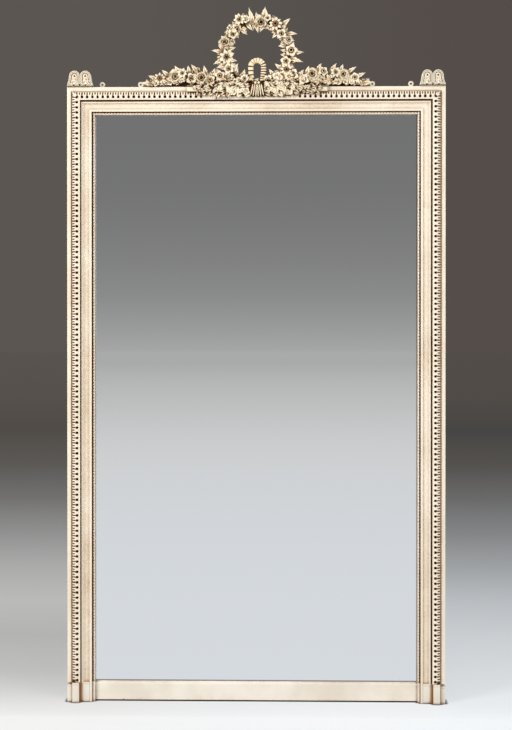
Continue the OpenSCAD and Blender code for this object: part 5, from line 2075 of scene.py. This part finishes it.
@dataclass
class Stage:
    """Pale floor that darkens with distance, with a painted shadow of the frame to its left, and the grey
    room round it.

    The floor's stops hold distance in metres, level and warmth, and the glass's stops height and level. The
    stops that shiny surfaces see, on the floor and in the room, are painted reflections.
    """

    radius: float = 40.0
    # The left stops are darker than the right ones near the frame and dip at about a metre: a painted shadow
    # of the frame on the floor.
    left: tuple = (
        (0.0, 241, 0), (0.14, 228, 0), (0.34, 212, 0), (0.6, 197, 0), (1.2, 186, 0), (1.9, 195, 0),
        (2.8, 180, 0), (3.9, 154, 0), (5.5, 121, 1), (7.7, 96, 3), (11.2, 82, 5), (17.2, 88, 5),
        (38.0, 91, 5),
    )
    right: tuple = (
        (0.0, 246, -3), (0.14, 239, -3), (0.34, 237, -4), (0.6, 232, -4), (1.2, 220, -4), (1.9, 201, -4),
        (2.8, 171, -3), (3.9, 142, -2), (5.5, 114, 0), (7.7, 88, 3), (11.2, 76, 2), (17.2, 82, 5),
        (38.0, 84, 5),
    )
    painted_reflection: tuple = (
        (0.0, 219, -4), (1.2, 217, -4), (2.9, 215, -4), (4.3, 213, -3), (6.4, 210, -2), (9.5, 204, -1),
        (15.0, 191, 0), (30.0, 170, 0),
    )
    glass: tuple = (
        (-0.25, 219), (-0.117, 213), (-0.076, 198), (-0.055, 187), (-0.034, 173), (-0.013, 155), (0.007, 139),
        (0.028, 129), (0.049, 122), (0.069, 117), (0.09, 115), (0.12, 113),
    )
    silver_loss: float = 0.88
    contact_shadow_reach: float = 0.011
    shadow_share: float = 0.42

    def ramp(self, bench: Bench, distance: Signal, stops: tuple) -> Signal:
        """Colour by distance, on a root scale so that near stops have room."""
        share = bench.math("POWER", bench.math("DIVIDE", distance, self.radius), 0.5)
        return bench.ramp(share, [((d / self.radius) ** 0.5, grey(level, warm)) for d, level, warm in stops])

    def floor_material(self) -> bpy.types.Material:
        """Makes the floor's material.

        Returns:
            The material.
        """
        material, bench = new_material("studio_floor")
        where = bench.place()
        distance = bench.math("MAXIMUM", bench.part(where, "Y") + 0.2, 0.0)
        away = bench.take("VectorMath", {0: where}, "Value", operation="LENGTH")
        share = bench.step(bench.part(where, "X"), -0.7, 0.7)
        left, right = (self.ramp(bench, distance, stops) for stops in (self.left, self.right))
        seen = bench.blend(share, left, right)
        # Ambient occlusion darkens the floor right beside the frame: a painted contact shadow.
        near = bench.take("AmbientOcclusion", {"Distance": self.contact_shadow_reach}, "AO", samples=8)
        seen = bench.blend(1.0, seen, bench.math("POWER", near, 6.0), "MULTIPLY")
        shown = bench.take("Emission", {"Color": seen, "Strength": 1.12})
        lit = bench.take("BsdfDiffuse", {"Color": seen})
        # To shiny rays the floor glows with its own ramp: a painted reflection in the silvered plate.
        painted_reflection_glow = {"Color": self.ramp(bench, away, self.painted_reflection), "Strength": 1.0 / self.silver_loss}
        surface = bench.by_ray(
            bench.take("BsdfDiffuse", {"Color": grey(200)}), bench.take("Emission", painted_reflection_glow),
            bench.take("MixShader", {0: self.shadow_share, 1: shown, 2: lit}),
        )
        bench.put("OutputMaterial", {"Surface": surface})
        return material

    def build(self) -> None:
        """Lays the floor and sets the room's light."""
        mesh = bpy.data.meshes.new("studio_floor")
        bm = bmesh.new()
        bmesh.ops.create_circle(bm, cap_ends=True, segments=96, radius=self.radius)
        bm.to_mesh(mesh)
        bm.free()
        mesh.materials.append(self.floor_material())
        floor = bpy.data.objects.new("studio_floor", mesh)
        bpy.context.scene.collection.objects.link(floor)
        self.room()

    def room(self) -> None:
        """Makes the world: grey to the camera, a soft gradient that only shiny surfaces show as a painted
        reflection, plain to the rest.
        """
        world = bpy.data.worlds.new("studio_room")
        bpy.context.scene.world = world
        world.use_nodes = True
        world.node_tree.nodes.clear()
        bench = Bench(world.node_tree)
        direction = bench.take("TexCoord", key="Generated")
        height = bench.math("ADD", bench.part(direction, "Z") * 2.0, 0.5, clamp=True)
        # The gradient by height that shiny surfaces see: a painted reflection for the silvered plate.
        glass = bench.ramp(height, [(z * 2.0 + 0.5, grey(level)) for z, level in self.glass])
        share = bench.step(bench.part(direction, "X"), -0.12, 0.12)
        seen = bench.blend(share, srgb(91, 86, 82), srgb(84, 77, 73))
        surface = bench.by_ray(
            bench.take("Background", {"Color": (1.0, 0.99, 0.98, 1.0), "Strength": 0.46}),
            bench.take("Background", {"Color": glass, "Strength": 1.0 / self.silver_loss}),
            bench.take("Background", {"Color": seen, "Strength": 1.0}),
        )
        bench.put("OutputWorld", {"Surface": surface})


@dataclass(frozen=True)
class Lamp:
    """One soft area lamp that looks at the frame."""

    name: str
    place: tuple[float, float, float]
    size: tuple[float, float]
    power: float
    colour: tuple[float, float, float] = (1.0, 1.0, 1.0)
    target: tuple[float, float, float] = (0.0, 0.0, 1.1)

    def build(self) -> None:
        """Hangs the lamp."""
        light = bpy.data.lights.new(self.name, "AREA")
        light.shape = "RECTANGLE"
        light.size, light.size_y = self.size
        light.energy = self.power
        light.color = self.colour
        lamp = bpy.data.objects.new(self.name, light)
        lamp.location = self.place
        lamp.rotation_euler = (Vector(self.target) - Vector(self.place)).to_track_quat("-Z", "Y").to_euler()
        bpy.context.scene.collection.objects.link(lamp)


@dataclass(frozen=True)
class Viewpoint:
    """The camera: nearly level, five metres off and a little to the right."""

    place: tuple[float, float, float] = (0.127, -5.0, 1.17)
    lens: float = 83.08
    pitch: float = 0.38
    seen_height: float = 2.161
    centre_z: float = 1.0006

    def build(self) -> None:
        """Sets up the camera."""
        camera = bpy.data.cameras.new("viewpoint")
        camera.lens = self.lens
        camera.sensor_width = 36.0
        x, y, z = self.place
        aimed = z + y * math.tan(math.radians(self.pitch))
        camera.shift_y = (self.centre_z - aimed) / self.seen_height
        holder = bpy.data.objects.new("viewpoint", camera)
        holder.location = self.place
        yaw = math.atan2(x, -y)
        holder.rotation_euler = (math.radians(90 - self.pitch), 0.0, yaw)
        bpy.context.scene.collection.objects.link(holder)
        bpy.context.scene.camera = holder


def main() -> None:
    """Builds the dressed mirror in its studio."""
    logging.basicConfig(level=logging.INFO, format="%(message)s")
    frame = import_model()
    effects = Effects()
    moulded = PaintFinish("painted_moulding").dress(effects)
    foot = PaintFinish("painted_foot", srgb(250, 243, 229), srgb(228, 215, 197), mottle=0.6).dress(effects)
    corner = PaintFinish(
        "painted_corner", srgb(254, 246, 224), srgb(242, 227, 194), cavity_glaze_and_shade=0.9, edge_wear_and_highlight=0.6,
    ).dress(effects)
    carving = PaintFinish(
        "painted_carving", srgb(255, 245, 217), srgb(243, 226, 186), srgb(174, 122, 58), srgb(68, 38, 10),
        reach=0.013, cavity_glaze_and_shade=1.1, mottle=0.85, edge_wear_and_highlight=0.6, coat=0.04,
    )
    # A lighter copy of the carving's paint, with less shade painted into its hollows, for the right garland:
    # painted light.
    carving_lit_copy = replace(carving, name="painted_carving_right", cavity_glaze_and_shade=0.62, mottle=0.4)
    Carcase(frame["nodes"], effects).build()
    OuterBand("outer_list", "outer_band", moulded).build()
    LeafCourse("leaf_course", "leaf_moulding", moulded).build()
    Frieze("frieze_slip", "frieze", moulded).build()
    BeadStrip("pearl_strip", "bead_strip", moulded).build()
    Plinths(foot).build()
    FootRail(foot).build()
    CornerEars(corner).build()
    Crest(carving.dress(effects), carving_lit_copy.dress(effects)).build()
    Stage().build()
    Lamp("key_lamp", (-3.0, -3.2, 2.9), (1.8, 1.6), 130.0, (1.0, 0.99, 0.975)).build()
    Lamp("fill_lamp", (2.6, -3.6, 2.2), (1.8, 1.8), 61.0, (0.98, 0.99, 1.0)).build()
    Viewpoint().build()
    bpy.context.scene.view_settings.view_transform = "Standard"


if __name__ == "__main__":
    main()
